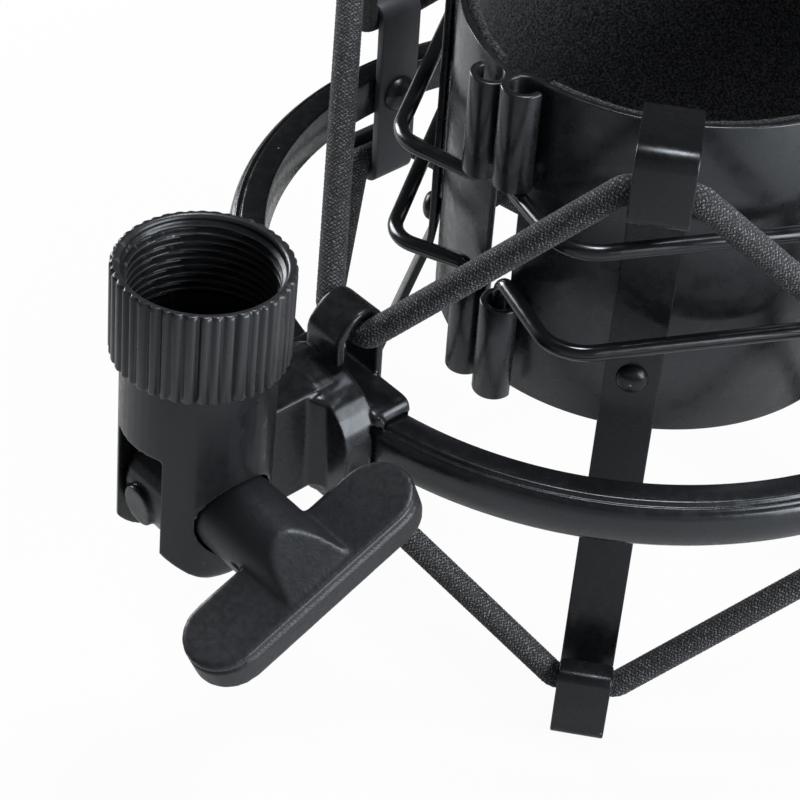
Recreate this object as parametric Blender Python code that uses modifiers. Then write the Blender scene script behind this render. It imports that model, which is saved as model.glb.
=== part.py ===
# Elastic shock mount for a condenser microphone: a spring sleeve hung by two cord loops inside a ring,
# with a tilting threaded adapter that screws onto a stand.
# The sleeve's axis is +Z, the bracket and adapter point to -Y, and the four bottom hooks stand on z = 0.
# The origin is on the floor under the middle of the whole mount.
import math

import bmesh
import bpy
from mathutils import Matrix, Vector

MM = 0.001

# Clearances in millimetres
SEAT = 0.2
CORD_GAP = 0.3
RUN_GAP = 0.25

# Sleeve: one sheet of spring steel, slit towards the bracket
SLEEVE_OD = 50.0
SLEEVE_HEIGHT = 40.2
SLEEVE_BASE = 33.2
SHEET = 0.8
CURL_OD = 3.8
CURL_TURN = 280.0
SLIT_AT_CURLS = 1.04
LOWER_CURL_LENGTH = 12.5
UPPER_CURL_LENGTH = 12.0
SLIT_ANGLE = -3.0
CRADLE_X = 1.85
CRADLE_Y = 1.35
RING_Y = 14.9

# Foam lining
FOAM = 1.4
FOAM_INSET = 0.4
FOAM_END_ANGLE = 9.0

# Hook strips riveted to the sleeve
STRIP_WIDTH = 6.1
STRIP_SHEET = 0.9
STRIP_FIRST_ANGLE = 38.9
TOP_HOOK_RISE = 5.9
TOP_HOOK_SLANT = 3.1
TOP_HOOK_REACH = 13.9
TOP_TAB_LENGTH = 9.1
STRIP_FLARE = 17.0
FLARE_ABOVE_EDGE = 5.0
BOTTOM_HOOK_REACH = 6.0
BOTTOM_TAB_LENGTH = 10.4
HOOK_LIP = 3.1
STRIP_BEND = 1.5
FLARE_BEND = 12.0
RIVET_HEAD = 3.5
RIVET_RISE = 1.1
RIVET_SHANK = 2.0
RIVET_HEIGHT = 8.0

# Wire levers
WIRE = 1.8
RIGHT_LOWER_RISE = 2.4
LEFT_LOWER_RISE = 1.2
LEFT_LOWER_DIP = 1.4
LEVER_UPPER_DROP = 1.2
LEVER_INSERT = 10.0
LEVER_LEG_ANGLE = 74.0
RIGHT_RUN_ANGLE = 64.8
RIGHT_CLEAR = 1.25
RIGHT_BEND = 3.2
LEFT_RUN_ANGLE = 52.5
LEFT_CLEAR = 2.3
LEFT_BEND = 5.0
LEVER_END = -2.0
LEVER_END_BEND = 3.2

# Elastic cord
CORD = 3.0

# Outer ring
RING_OD = 95.2
RING_WALL = 4.5
RING_HEIGHT = 5.5
RING_BASE = 36.1
RING_STEP = 0.9
REBATE_WIDTH = 1.5
REBATE_DEPTH = 0.45
RING_CORNER = 0.4

# Hook plates on the ring
PLATE_WIDTH = 6.2
PLATE_SHEET = 1.2
PLATE_HALF = 13.4
PLATE_TAB = 5.0
PLATE_SCREW_HEAD = 4.8
PLATE_SCREW_RISE = 1.5
PLATE_SCREW_SHANK = 2.4
PLATE_SCREW_DEPTH = 2.6

# Stand bracket
SADDLE_WIDTH = 16.4
SADDLE_HEIGHT = 15.0
SADDLE_CORNER = 7.3
SADDLE_OUTER = 3.1
SADDLE_LAP = 1.4
INNER_WALL = 0.9
INNER_BLOCK_WIDTH = 16.1
INNER_BLOCK_WALL = 1.8
TONGUE_THICK = 6.5
TONGUE_RADIUS = 6.5
TONGUE_FLARE = 1.6
TIP_BOSS = 3.4
TIP_BOSS_RISE = 0.5
POST_WIDTH = 5.2
POST_THICK = 1.1
POST_PROUD = 0.7
POST_CORD_RISE = 11.0
POST_OVER = 140.0
POST_FLAP = 1.9
POST_TIP_GAP = 0.6

# Stand adapter
PIVOT_STANDOFF = 13.6
PIVOT_RISE = 0.65
ADAPTER_LEAN = 3.2
COLLAR_OD = 18.0
COLLAR_LENGTH = 10.0
COLLAR_CHAMFER = 0.45
THREAD_BORE = 15.2
THREAD_DEPTH = 12.5
NECK_OD = 15.8
ADAPTER_TOP = 26.8
FORK_BELOW_TONGUE = 1.8
SLOT_ABOVE_TONGUE = 1.2
FORK_ROUND = 2.0

# Clamp screw, nut and wing knob
STUD = 5.0
NUT_FLATS = 8.0
NUT_THICK = 2.5
HUB = 9.0
HUB_SINK = 2.4
WING_LENGTH = 28.4
WING_WIDTH = 8.3
WING_THICK = 4.2
WING_STANDOFF = 5.7
WING_TILT = 28.0
WING_EDGE = 0.9

# Derived places
SLEEVE_R = SLEEVE_OD / 2
SLEEVE_MID = SLEEVE_R - SHEET / 2
SLEEVE_TOP = SLEEVE_BASE + SLEEVE_HEIGHT
CURL_MID = CURL_OD / 2 - SHEET / 2
CURL_RADIUS_AT = SLEEVE_MID + CURL_MID
CURL_SIDE = CURL_OD / 2 + SLIT_AT_CURLS / 2
CURL_ANGLE = math.asin(CURL_SIDE / CURL_RADIUS_AT)
STRIP_MID = SLEEVE_R + SEAT + STRIP_SHEET / 2
STRIP_FACE = STRIP_MID + STRIP_SHEET / 2
TOP_TAB_MID = STRIP_MID + TOP_HOOK_REACH - STRIP_SHEET
FLARE_START = SLEEVE_BASE + FLARE_ABOVE_EDGE
BOTTOM_BACK = STRIP_MID + math.tan(math.radians(STRIP_FLARE)) * (FLARE_START - STRIP_SHEET / 2)
BOTTOM_TAB_MID = BOTTOM_BACK + BOTTOM_HOOK_REACH - STRIP_SHEET
TOP_HOOK_Z = SLEEVE_TOP + TOP_HOOK_RISE
RING_OR = RING_OD / 2
RING_IR = RING_OR - RING_WALL
RING_TOP = RING_BASE + RING_HEIGHT
RING_MID = RING_BASE + RING_HEIGHT / 2
PIVOT_Z = RING_MID + PIVOT_RISE
PLATE_MID = RING_IR - SEAT - PLATE_SHEET / 2
PLATE_CORD = PLATE_MID + PLATE_SHEET / 2 + CORD_GAP + CORD / 2
PLATE_TAB_MID = PLATE_CORD + CORD / 2 + CORD_GAP + PLATE_SHEET / 2
BLOCK_IN = RING_IR - RUN_GAP - INNER_WALL
POST_MID = BLOCK_IN - POST_PROUD + POST_THICK / 2
POST_CORD = POST_MID + POST_THICK / 2 + CORD_GAP + CORD / 2
SADDLE_FACE = RING_OR + SADDLE_OUTER
PIVOT_REACH = SADDLE_FACE + PIVOT_STANDOFF
ADAPTER_BOTTOM = TONGUE_RADIUS + FORK_BELOW_TONGUE
SLOT_TOP = TONGUE_RADIUS + SLOT_ABOVE_TONGUE
SLOT_WIDTH = TONGUE_THICK + 2 * RUN_GAP
NECK_R = NECK_OD / 2
COLLAR_R = COLLAR_OD / 2
HUB_SEAT = NECK_R - HUB_SINK
WING_START = NECK_R + WING_STANDOFF
STRIP_ANGLES = [STRIP_FIRST_ANGLE + 90.0 * i for i in range(4)]
PLATE_ANGLES = [90.0, 180.0, 270.0]

for old in list(bpy.data.objects):
    bpy.data.objects.remove(old, do_unlink=True)

parts = bpy.data.collections.new("microphone_shock_mount")
cutters = bpy.data.collections.new("cutters")
bpy.context.scene.collection.children.link(parts)
bpy.context.scene.collection.children.link(cutters)


def finish(name, color, roughness, metallic):
    mat = bpy.data.materials.new(name)
    mat.use_nodes = True
    shader = mat.node_tree.nodes["Principled BSDF"]
    shader.inputs["Base Color"].default_value = (*color, 1.0)
    shader.inputs["Roughness"].default_value = roughness
    shader.inputs["Metallic"].default_value = metallic
    return mat


def add_object(name, data, matrix=None, collection=parts):
    obj = bpy.data.objects.new(name, data)
    collection.objects.link(obj)
    if matrix is not None:
        obj.matrix_world = matrix
    return obj


def add_cutter(name, data, matrix=None):
    obj = add_object(name, data, matrix, cutters)
    obj.hide_render = True
    obj.display_type = "WIRE"
    return obj


def radial_frame(angle, centre=(0.0, 0.0)):
    # Local X points outward at this angle round the axis, Y is sideways and Z is up
    out = math.radians(angle) - math.pi / 2
    turn = Matrix.Rotation(out, 4, "Z")
    return Matrix.Translation((centre[0] * MM, (RING_Y + centre[1]) * MM, 0)) @ turn


CRADLE = (CRADLE_X, CRADLE_Y)


def fillet(points, radius, steps=5):
    # Round every inner corner of a polyline, in two or three dimensions
    pts = [Vector(p) for p in points]
    radii = radius if isinstance(radius, list) else [radius] * len(pts)
    out = [pts[0]]
    for i in range(1, len(pts) - 1):
        back = (pts[i - 1] - pts[i]).normalized()
        ahead = (pts[i + 1] - pts[i]).normalized()
        half = back.angle(ahead) / 2
        if math.pi / 2 - half < 0.01 or radii[i] <= 0:
            out.append(pts[i])
            continue
        reach = radii[i] / math.tan(half)
        centre = pts[i] + (back + ahead).normalized() * (radii[i] / math.sin(half))
        start = pts[i] + back * reach - centre
        end = pts[i] + ahead * reach - centre
        sweep = start.angle(end)
        for k in range(steps + 1):
            f = k / steps
            arm = (start * math.sin((1 - f) * sweep) + end * math.sin(f * sweep)) / math.sin(sweep)
            out.append(centre + arm)
    out.append(pts[-1])
    return out


def path_mesh(name, points):
    mesh = bpy.data.meshes.new(name)
    bm = bmesh.new()
    verts = [bm.verts.new(Vector(p) * MM) for p in points]
    for a, b in zip(verts, verts[1:]):
        bm.edges.new((a, b))
    bm.to_mesh(mesh)
    bm.free()
    return mesh


def sheet_strip(name, path, width, thick, mat, matrix):
    # A bent strip: the side-view path is drawn sideways to an open surface, then thickened
    mesh = path_mesh(name, [(p[0], -width / 2, p[1]) for p in path])
    bm = bmesh.new()
    bm.from_mesh(mesh)
    swept = bmesh.ops.extrude_edge_only(bm, edges=bm.edges[:])
    moved = [v for v in swept["geom"] if isinstance(v, bmesh.types.BMVert)]
    bmesh.ops.translate(bm, verts=moved, vec=(0, width * MM, 0))
    bmesh.ops.recalc_face_normals(bm, faces=bm.faces[:])
    bm.to_mesh(mesh)
    bm.free()
    mesh.materials.append(mat)
    obj = add_object(name, mesh, matrix)
    thicken(obj, thick)
    return obj


def thicken(obj, thick):
    mod = obj.modifiers.new("sheet", "SOLIDIFY")
    mod.thickness = thick * MM
    mod.offset = 0.0
    mod.use_even_offset = True
    return mod


def turn_profile(name, profile, mat, matrix, steps=32, closed=False, collection=parts):
    # A turned piece: the profile runs down its outer side and is spun round local Z
    mesh = path_mesh(name, [(p[0], 0, p[1]) for p in profile])
    if closed:
        bm = bmesh.new()
        bm.from_mesh(mesh)
        bm.verts.ensure_lookup_table()
        bm.edges.new((bm.verts[len(profile) - 1], bm.verts[0]))
        bm.to_mesh(mesh)
        bm.free()
    if mat is not None:
        mesh.materials.append(mat)
    obj = add_object(name, mesh, matrix, collection)
    mod = obj.modifiers.new("turn", "SCREW")
    mod.axis = "Z"
    mod.angle = 2 * math.pi
    mod.steps = steps
    mod.render_steps = steps
    mod.use_merge_vertices = True
    mod.merge_threshold = 0.00001
    return obj


def plate_outline(name, outline, half, matrix, collection=parts):
    # A flat outline filled and drawn out both ways, as a mesh that can be cut and joined
    curve = bpy.data.curves.new(name, "CURVE")
    curve.dimensions = "2D"
    curve.fill_mode = "BOTH"
    curve.extrude = half * MM
    spline = curve.splines.new("POLY")
    spline.points.add(len(outline) - 1)
    for point, p in zip(spline.points, outline):
        point.co = (p[0] * MM, p[1] * MM, 0, 1)
    spline.use_cyclic_u = True
    flat = add_object(name + "_outline", curve, matrix, collection)
    bpy.context.view_layer.update()
    evaluated = flat.evaluated_get(bpy.context.evaluated_depsgraph_get())
    mesh = bpy.data.meshes.new_from_object(evaluated)
    bpy.data.objects.remove(flat, do_unlink=True)
    bm = bmesh.new()
    bm.from_mesh(mesh)
    bmesh.ops.remove_doubles(bm, verts=bm.verts[:], dist=0.000001)
    bmesh.ops.recalc_face_normals(bm, faces=bm.faces[:])
    bm.to_mesh(mesh)
    bm.free()
    mesh.name = name
    obj = add_object(name, mesh, matrix, collection)
    if collection is cutters:
        obj.hide_render = True
        obj.display_type = "WIRE"
    return obj


def box_cutter(name, low, high, matrix=None):
    mesh = bpy.data.meshes.new(name)
    bm = bmesh.new()
    bmesh.ops.create_cube(bm, size=1.0)
    for v in bm.verts:
        for k in range(3):
            v.co[k] = (low[k] if v.co[k] < 0 else high[k]) * MM
    bm.to_mesh(mesh)
    bm.free()
    return add_cutter(name, mesh, matrix)


def rod_cutter(name, radius, low, high, matrix, sides=24):
    # A round rod along local X from low to high
    mesh = bpy.data.meshes.new(name)
    bm = bmesh.new()
    bmesh.ops.create_cone(bm, cap_ends=True, segments=sides, radius1=radius * MM, radius2=radius * MM,
                          depth=(high - low) * MM)
    bmesh.ops.rotate(bm, verts=bm.verts[:], matrix=Matrix.Rotation(math.pi / 2, 3, "Y"))
    bmesh.ops.translate(bm, verts=bm.verts[:], vec=((high + low) / 2 * MM, 0, 0))
    bm.to_mesh(mesh)
    bm.free()
    return add_cutter(name, mesh, matrix)


def boolean(obj, cutter, operation="DIFFERENCE"):
    mod = obj.modifiers.new(operation.lower(), "BOOLEAN")
    mod.object = cutter
    mod.operation = operation
    mod.solver = "EXACT"
    return mod


def round_edges(obj, width, segments=2, angle=30):
    mod = obj.modifiers.new("edges", "BEVEL")
    mod.width = width * MM
    mod.segments = segments
    mod.limit_method = "ANGLE"
    mod.angle_limit = math.radians(angle)
    return mod


def smooth(obj, angle=35):
    obj.data.shade_smooth()
    obj.data.set_sharp_from_angle(angle=math.radians(angle))


def round_tube(name, points, diameter, mat, cyclic=False):
    curve = bpy.data.curves.new(name, "CURVE")
    curve.dimensions = "3D"
    curve.bevel_depth = diameter / 2 * MM
    curve.bevel_resolution = 2
    curve.use_fill_caps = not cyclic
    spline = curve.splines.new("POLY")
    spline.points.add(len(points) - 1)
    for point, p in zip(spline.points, points):
        point.co = (p[0] * MM, p[1] * MM, p[2] * MM, 1)
    spline.use_cyclic_u = cyclic
    curve.materials.append(mat)
    return add_object(name, curve)


BLACK = (0.012, 0.012, 0.013)
sleeve_paint = finish("sleeve_paint", BLACK, 0.32, 0.0)
strip_paint = finish("strip_paint", BLACK, 0.34, 0.0)
rivet_paint = finish("rivet_paint", BLACK, 0.3, 0.0)
wire_paint = finish("wire_paint", BLACK, 0.28, 0.0)
foam_grey = finish("foam_grey", (0.02, 0.02, 0.021), 0.95, 0.0)
ring_paint = finish("ring_paint", BLACK, 0.38, 0.0)
plate_paint = finish("plate_paint", (0.014, 0.014, 0.015), 0.4, 0.0)
screw_paint = finish("screw_paint", BLACK, 0.35, 0.0)
cast_paint = finish("cast_paint", BLACK, 0.36, 0.0)
cord_weave = finish("cord_weave", (0.018, 0.018, 0.019), 0.85, 0.0)
adapter_paint = finish("adapter_paint", (0.013, 0.013, 0.014), 0.42, 0.0)
knob_plastic = finish("knob_plastic", (0.014, 0.014, 0.015), 0.5, 0.0)
stud_steel = finish("stud_steel", (0.35, 0.35, 0.36), 0.35, 1.0)
nut_steel = finish("nut_steel", (0.4, 0.4, 0.41), 0.35, 1.0)

# Spring sleeve: the plan path runs round one curl, along the sheet and round the other curl
curl_steps = 14
arc_steps = 72


def curl_points(side):
    pts = []
    normal = Vector((math.cos(CURL_ANGLE), math.sin(CURL_ANGLE)))
    along = Vector((math.sin(CURL_ANGLE), -math.cos(CURL_ANGLE)))
    centre = normal * CURL_RADIUS_AT
    for k in range(1, curl_steps + 1):
        turn = math.radians(CURL_TURN * k / curl_steps)
        p = centre + CURL_MID * (along * math.sin(turn) - normal * math.cos(turn))
        pts.append((p.x, p.y * side))
    return pts


sheet_arc = []
for k in range(arc_steps + 1):
    angle = CURL_ANGLE + (2 * math.pi - 2 * CURL_ANGLE) * k / arc_steps
    sheet_arc.append((SLEEVE_MID * math.cos(angle), SLEEVE_MID * math.sin(angle)))
plan = curl_points(1)[::-1] + sheet_arc + curl_points(-1)

sleeve_mesh = path_mesh("spring_sleeve", [(p[0], p[1], SLEEVE_BASE) for p in plan])
bm = bmesh.new()
bm.from_mesh(sleeve_mesh)
rows = bm.edges[:]
plain_height = SLEEVE_HEIGHT - LOWER_CURL_LENGTH - UPPER_CURL_LENGTH
plain_faces = []
for height in (LOWER_CURL_LENGTH, plain_height, UPPER_CURL_LENGTH):
    swept = bmesh.ops.extrude_edge_only(bm, edges=rows)["geom"]
    bmesh.ops.translate(bm, verts=[g for g in swept if isinstance(g, bmesh.types.BMVert)],
                        vec=(0, 0, height * MM))
    raised = [g for g in swept if isinstance(g, bmesh.types.BMEdge)]
    top = max(v.co.z for e in raised for v in e.verts)
    rows = [e for e in raised if min(v.co.z for v in e.verts) > top - 0.00001]
    if height == plain_height:
        plain_faces = [g for g in swept if isinstance(g, bmesh.types.BMFace)]
edge_x = SLEEVE_MID * math.cos(CURL_ANGLE) * MM
in_curl = [f for f in plain_faces if f.calc_center_median().x > edge_x
           and abs(f.calc_center_median().y) < (CURL_SIDE + CURL_MID) * MM]
bmesh.ops.delete(bm, geom=in_curl, context="FACES")
bmesh.ops.recalc_face_normals(bm, faces=bm.faces[:])
bm.to_mesh(sleeve_mesh)
bm.free()
sleeve_mesh.materials.append(sleeve_paint)
sleeve = add_object("spring_sleeve", sleeve_mesh, radial_frame(SLIT_ANGLE, CRADLE))
thicken(sleeve, SHEET)
smooth(sleeve)

# Foam lining: a soft band inside the sleeve that stops short of the slit
foam_mid = SLEEVE_R - SHEET - SEAT - FOAM / 2
foam_arc = []
for k in range(49):
    angle = math.radians(FOAM_END_ANGLE + (360 - 2 * FOAM_END_ANGLE) * k / 48)
    foam_arc.append((foam_mid * math.cos(angle), foam_mid * math.sin(angle), SLEEVE_BASE + FOAM_INSET))
foam_mesh = path_mesh("foam_lining", foam_arc)
bm = bmesh.new()
bm.from_mesh(foam_mesh)
swept = bmesh.ops.extrude_edge_only(bm, edges=bm.edges[:])["geom"]
bmesh.ops.translate(bm, verts=[g for g in swept if isinstance(g, bmesh.types.BMVert)],
                    vec=(0, 0, (SLEEVE_HEIGHT - 2 * FOAM_INSET) * MM))
bmesh.ops.recalc_face_normals(bm, faces=bm.faces[:])
bm.to_mesh(foam_mesh)
bm.free()
foam_mesh.materials.append(foam_grey)
foam = add_object("foam_lining", foam_mesh, radial_frame(SLIT_ANGLE, CRADLE))
thicken(foam, FOAM)
smooth(foam)

# Hook strips, each held by one dome rivet through the strip and the sleeve
top_run = TOP_HOOK_Z - STRIP_SHEET / 2
bottom_run = STRIP_SHEET / 2
top_lip = TOP_HOOK_Z - TOP_TAB_LENGTH + STRIP_SHEET / 2
bottom_lip = BOTTOM_TAB_LENGTH - STRIP_SHEET / 2
strip_path = fillet([
    (TOP_TAB_MID - HOOK_LIP + STRIP_SHEET / 2, top_lip),
    (TOP_TAB_MID, top_lip),
    (TOP_TAB_MID, top_run),
    (STRIP_MID, top_run - TOP_HOOK_SLANT),
    (STRIP_MID, FLARE_START),
    (BOTTOM_BACK, bottom_run),
    (BOTTOM_TAB_MID, bottom_run),
    (BOTTOM_TAB_MID, bottom_lip),
    (BOTTOM_TAB_MID - HOOK_LIP + STRIP_SHEET / 2, bottom_lip),
], [0, STRIP_SHEET, STRIP_BEND, STRIP_BEND, FLARE_BEND, STRIP_BEND, STRIP_BEND, STRIP_SHEET, 0], 4)
rivet_z = SLEEVE_BASE + RIVET_HEIGHT
rivet_seat = STRIP_FACE + SEAT / 2
rivet_tail = SLEEVE_R - SHEET
for i, angle in enumerate(STRIP_ANGLES):
    place = radial_frame(angle, CRADLE)
    strip = sheet_strip("hook_strip_%d" % (i + 1), strip_path, STRIP_WIDTH, STRIP_SHEET, strip_paint, place)
    hole_place = place @ Matrix.Translation((0, 0, rivet_z * MM))
    hole = rod_cutter("rivet_hole_%d" % (i + 1), RIVET_SHANK / 2 + SEAT / 2, rivet_tail - 1, STRIP_FACE + 1,
                      hole_place, 16)
    boolean(strip, hole)
    boolean(sleeve, hole)
    dome = [(0, rivet_seat + RIVET_RISE)]
    for k in range(1, 6):
        t = math.radians(90 * k / 5)
        dome.append((RIVET_HEAD / 2 * math.sin(t), rivet_seat + RIVET_RISE * math.cos(t)))
    dome += [(RIVET_SHANK / 2, rivet_seat), (RIVET_SHANK / 2, rivet_tail), (0, rivet_tail)]
    lay = hole_place @ Matrix.Rotation(math.pi / 2, 4, "Y")
    rivet = turn_profile("strip_rivet_%d" % (i + 1), dome, rivet_paint, lay, 16)
    smooth(rivet)

# Wire levers: each one hooks into both curls of its edge and bears on the sleeve's side
leg = Vector((math.cos(math.radians(LEVER_LEG_ANGLE)), math.sin(math.radians(LEVER_LEG_ANGLE))))
curl_at = Vector((CURL_RADIUS_AT * math.cos(CURL_ANGLE), CURL_RADIUS_AT * math.sin(CURL_ANGLE)))
upper_z = SLEEVE_TOP - UPPER_CURL_LENGTH - LEVER_UPPER_DROP
levers = (
    (1, "lever_right", RIGHT_RUN_ANGLE, RIGHT_CLEAR, RIGHT_BEND, RIGHT_LOWER_RISE, 0.0),
    (-1, "lever_left", LEFT_RUN_ANGLE, LEFT_CLEAR, LEFT_BEND, LEFT_LOWER_RISE, LEFT_LOWER_DIP),
)
for side, name, run_angle, clear, bend, rise, dip in levers:
    lower_z = SLEEVE_BASE + LOWER_CURL_LENGTH + rise
    run_normal = Vector((math.cos(math.radians(run_angle)), math.sin(math.radians(run_angle))))
    run_offset = SLEEVE_R + clear + WIRE / 2
    bend_at = curl_at + leg * (run_offset - curl_at.dot(run_normal)) / leg.dot(run_normal)
    end_at = Vector((LEVER_END, (run_offset - LEVER_END * run_normal.x) / run_normal.y))
    route = [
        (curl_at.x, curl_at.y, lower_z - LEVER_INSERT),
        (curl_at.x, curl_at.y, lower_z),
        (bend_at.x, bend_at.y, lower_z - dip),
        (end_at.x, end_at.y, lower_z - dip),
        (end_at.x, end_at.y, upper_z),
        (bend_at.x, bend_at.y, upper_z),
        (curl_at.x, curl_at.y, upper_z),
        (curl_at.x, curl_at.y, upper_z + LEVER_INSERT),
    ]
    bent = fillet(route, [0, WIRE * 0.9, bend, LEVER_END_BEND, LEVER_END_BEND, bend, WIRE * 0.9, 0], 5)
    from_axis = [(p.x - curl_at.x, (p.y - curl_at.y) * side, p.z) for p in bent]
    lever = round_tube(name, from_axis, WIRE, wire_paint)
    lever.matrix_world = radial_frame(SLIT_ANGLE, CRADLE) @ Matrix.Translation((curl_at.x * MM, curl_at.y * side * MM, 0))

# Outer ring: a turned profile with a flat top, a fine rebate at its outer edge and a full outer face
ring_profile = [
    (RING_IR + RING_CORNER, RING_TOP),
    (RING_OR - REBATE_WIDTH, RING_TOP),
    (RING_OR - REBATE_WIDTH, RING_TOP - REBATE_DEPTH),
    (RING_OR - RING_STEP, RING_TOP - REBATE_DEPTH),
    (RING_OR - RING_STEP / 3, RING_TOP - REBATE_DEPTH - RING_STEP / 2),
    (RING_OR, RING_TOP - REBATE_DEPTH - 1.5 * RING_STEP),
    (RING_OR, RING_BASE + 1.5 * RING_STEP),
    (RING_OR - RING_STEP / 3, RING_BASE + RING_STEP / 2),
    (RING_OR - RING_STEP, RING_BASE),
    (RING_IR + RING_CORNER, RING_BASE),
    (RING_IR, RING_BASE + RING_CORNER),
    (RING_IR, RING_TOP - RING_CORNER),
]
ring_place = Matrix.Translation((0, RING_Y * MM, 0))
ring = turn_profile("outer_ring", ring_profile, ring_paint, ring_place, 96, True)
smooth(ring, 40)

# Hook plates on the ring's inner face, bent over outward at both ends to hold the cords
plate_path = fillet([
    (PLATE_TAB_MID, RING_MID + PLATE_HALF - PLATE_TAB),
    (PLATE_TAB_MID, RING_MID + PLATE_HALF - PLATE_SHEET / 2),
    (PLATE_MID, RING_MID + PLATE_HALF - PLATE_SHEET / 2),
    (PLATE_MID, RING_MID - PLATE_HALF + PLATE_SHEET / 2),
    (PLATE_TAB_MID, RING_MID - PLATE_HALF + PLATE_SHEET / 2),
    (PLATE_TAB_MID, RING_MID - PLATE_HALF + PLATE_TAB),
], 1.4, 4)
screw_seat = PLATE_MID - PLATE_SHEET / 2 - SEAT / 2
screw_end = RING_IR + PLATE_SCREW_DEPTH
for i, angle in enumerate(PLATE_ANGLES):
    place = radial_frame(angle)
    plate = sheet_strip("ring_hook_plate_%d" % (i + 1), plate_path, PLATE_WIDTH, PLATE_SHEET, plate_paint, place)
    hole_place = place @ Matrix.Translation((0, 0, RING_MID * MM))
    hole = rod_cutter("screw_hole_%d" % (i + 1), PLATE_SCREW_SHANK / 2 + SEAT / 2, PLATE_MID - 2,
                      screw_end + SEAT, hole_place, 16)
    boolean(plate, hole)
    boolean(ring, hole)
    head = [(0, PLATE_SCREW_RISE)]
    for k in range(1, 6):
        t = math.radians(90 * k / 5)
        head.append((PLATE_SCREW_HEAD / 2 * math.sin(t), PLATE_SCREW_RISE * (0.3 + 0.7 * math.cos(t))))
    head += [(PLATE_SCREW_HEAD / 2, 0), (PLATE_SCREW_SHANK / 2, 0),
             (PLATE_SCREW_SHANK / 2, screw_seat - screw_end), (0, screw_seat - screw_end)]
    lay = hole_place @ Matrix.Translation((screw_seat * MM, 0, 0)) @ Matrix.Rotation(-math.pi / 2, 4, "Y")
    screw = turn_profile("plate_screw_%d" % (i + 1), head, screw_paint, lay, 16)
    smooth(screw)

# Stand bracket: a cast saddle closed round the ring, with the tongue outside and a cord post inside
SIDE_VIEW = radial_frame(0) @ Matrix.Rotation(math.pi / 2, 4, "X")
FRONT_VIEW = radial_frame(0) @ Matrix.Rotation(math.pi / 2, 4, "Z") @ Matrix.Rotation(math.pi / 2, 4, "X")
PLAN_VIEW = radial_frame(0)


def rounded_rectangle(width, low, high, corner, steps=7):
    pts = []
    for cx, cy, start in ((width / 2 - corner, high - corner, 0), (corner - width / 2, high - corner, 90),
                          (corner - width / 2, low + corner, 180), (width / 2 - corner, low + corner, 270)):
        for k in range(steps + 1):
            t = math.radians(start + 90 * k / steps)
            pts.append((cx + corner * math.cos(t), cy + corner * math.sin(t)))
    return pts


saddle_low = RING_MID - SADDLE_HEIGHT / 2
saddle_high = RING_MID + SADDLE_HEIGHT / 2
saddle_depth = SADDLE_OUTER + SADDLE_LAP
saddle_mid = SADDLE_FACE - saddle_depth / 2
bracket = plate_outline("stand_bracket", rounded_rectangle(SADDLE_WIDTH, saddle_low, saddle_high, SADDLE_CORNER),
                        saddle_depth / 2, Matrix.Translation((0, -saddle_mid * MM, 0)) @ FRONT_VIEW)
bracket.data.materials.append(cast_paint)

block_out = RING_OR - SADDLE_LAP + 0.5
block = plate_outline("inner_block", rounded_rectangle(INNER_BLOCK_WIDTH, RING_BASE - INNER_BLOCK_WALL,
                                                       RING_TOP + INNER_BLOCK_WALL, 1.2, 3),
                      (block_out - BLOCK_IN) / 2,
                      Matrix.Translation((0, -(block_out + BLOCK_IN) / 2 * MM, 0)) @ FRONT_VIEW, cutters)
boolean(bracket, block, "UNION")

tongue = [(saddle_mid, PIVOT_Z - TONGUE_RADIUS)]
for k in range(17):
    t = math.radians(-90 + 180 * k / 16)
    tongue.append((PIVOT_REACH + TONGUE_RADIUS * math.cos(t), PIVOT_Z + TONGUE_RADIUS * math.sin(t)))
tongue.append((saddle_mid, PIVOT_Z + TONGUE_RADIUS))
tongue_body = plate_outline("tongue", tongue, TONGUE_THICK / 2, SIDE_VIEW, cutters)
boolean(bracket, tongue_body, "UNION")

flare_half = TONGUE_RADIUS - 0.4
flare = plate_outline("flare", [
    (SADDLE_FACE - 1.0, TONGUE_THICK / 2 + TONGUE_FLARE),
    (SADDLE_FACE - 1.0, -TONGUE_THICK / 2 - TONGUE_FLARE),
    (SADDLE_FACE, -TONGUE_THICK / 2 - TONGUE_FLARE),
    (SADDLE_FACE + TONGUE_FLARE, -TONGUE_THICK / 2 + 0.2),
    (SADDLE_FACE + TONGUE_FLARE, TONGUE_THICK / 2 - 0.2),
    (SADDLE_FACE, TONGUE_THICK / 2 + TONGUE_FLARE),
], flare_half, Matrix.Translation((0, 0, PIVOT_Z * MM)) @ PLAN_VIEW, cutters)
boolean(bracket, flare, "UNION")

tip_place = radial_frame(0) @ Matrix.Translation((0, 0, (PIVOT_Z - 1.0) * MM))
tip = rod_cutter("tip_boss", TIP_BOSS / 2, PIVOT_REACH + TONGUE_RADIUS - 2.0,
                 PIVOT_REACH + TONGUE_RADIUS + TIP_BOSS_RISE, tip_place, 20)
boolean(bracket, tip, "UNION")

post_reach = POST_CORD - POST_MID
post_end = math.radians(180 - POST_OVER)
post_top = []
for k in range(9):
    t = math.pi - math.radians(POST_OVER) * k / 8
    post_top.append((POST_CORD + post_reach * math.cos(t), POST_CORD_RISE + post_reach * math.sin(t)))
flap_x = POST_CORD + post_reach * math.cos(post_end) + POST_FLAP * math.sin(post_end)
flap_z = POST_CORD_RISE + post_reach * math.sin(post_end) - POST_FLAP * math.cos(post_end)
flap_tip = SADDLE_HEIGHT / 2 + POST_TIP_GAP
flap_end = fillet([post_top[-1], (flap_x, flap_z), (flap_x, flap_tip)], 1.0, 4)
half_post = post_top + [(p.x, p.y) for p in flap_end[1:]]
post_route = [Vector((p[0], RING_MID + p[1])) for p in reversed(half_post)]
post_route += [Vector((p[0], RING_MID - p[1])) for p in half_post]


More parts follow.
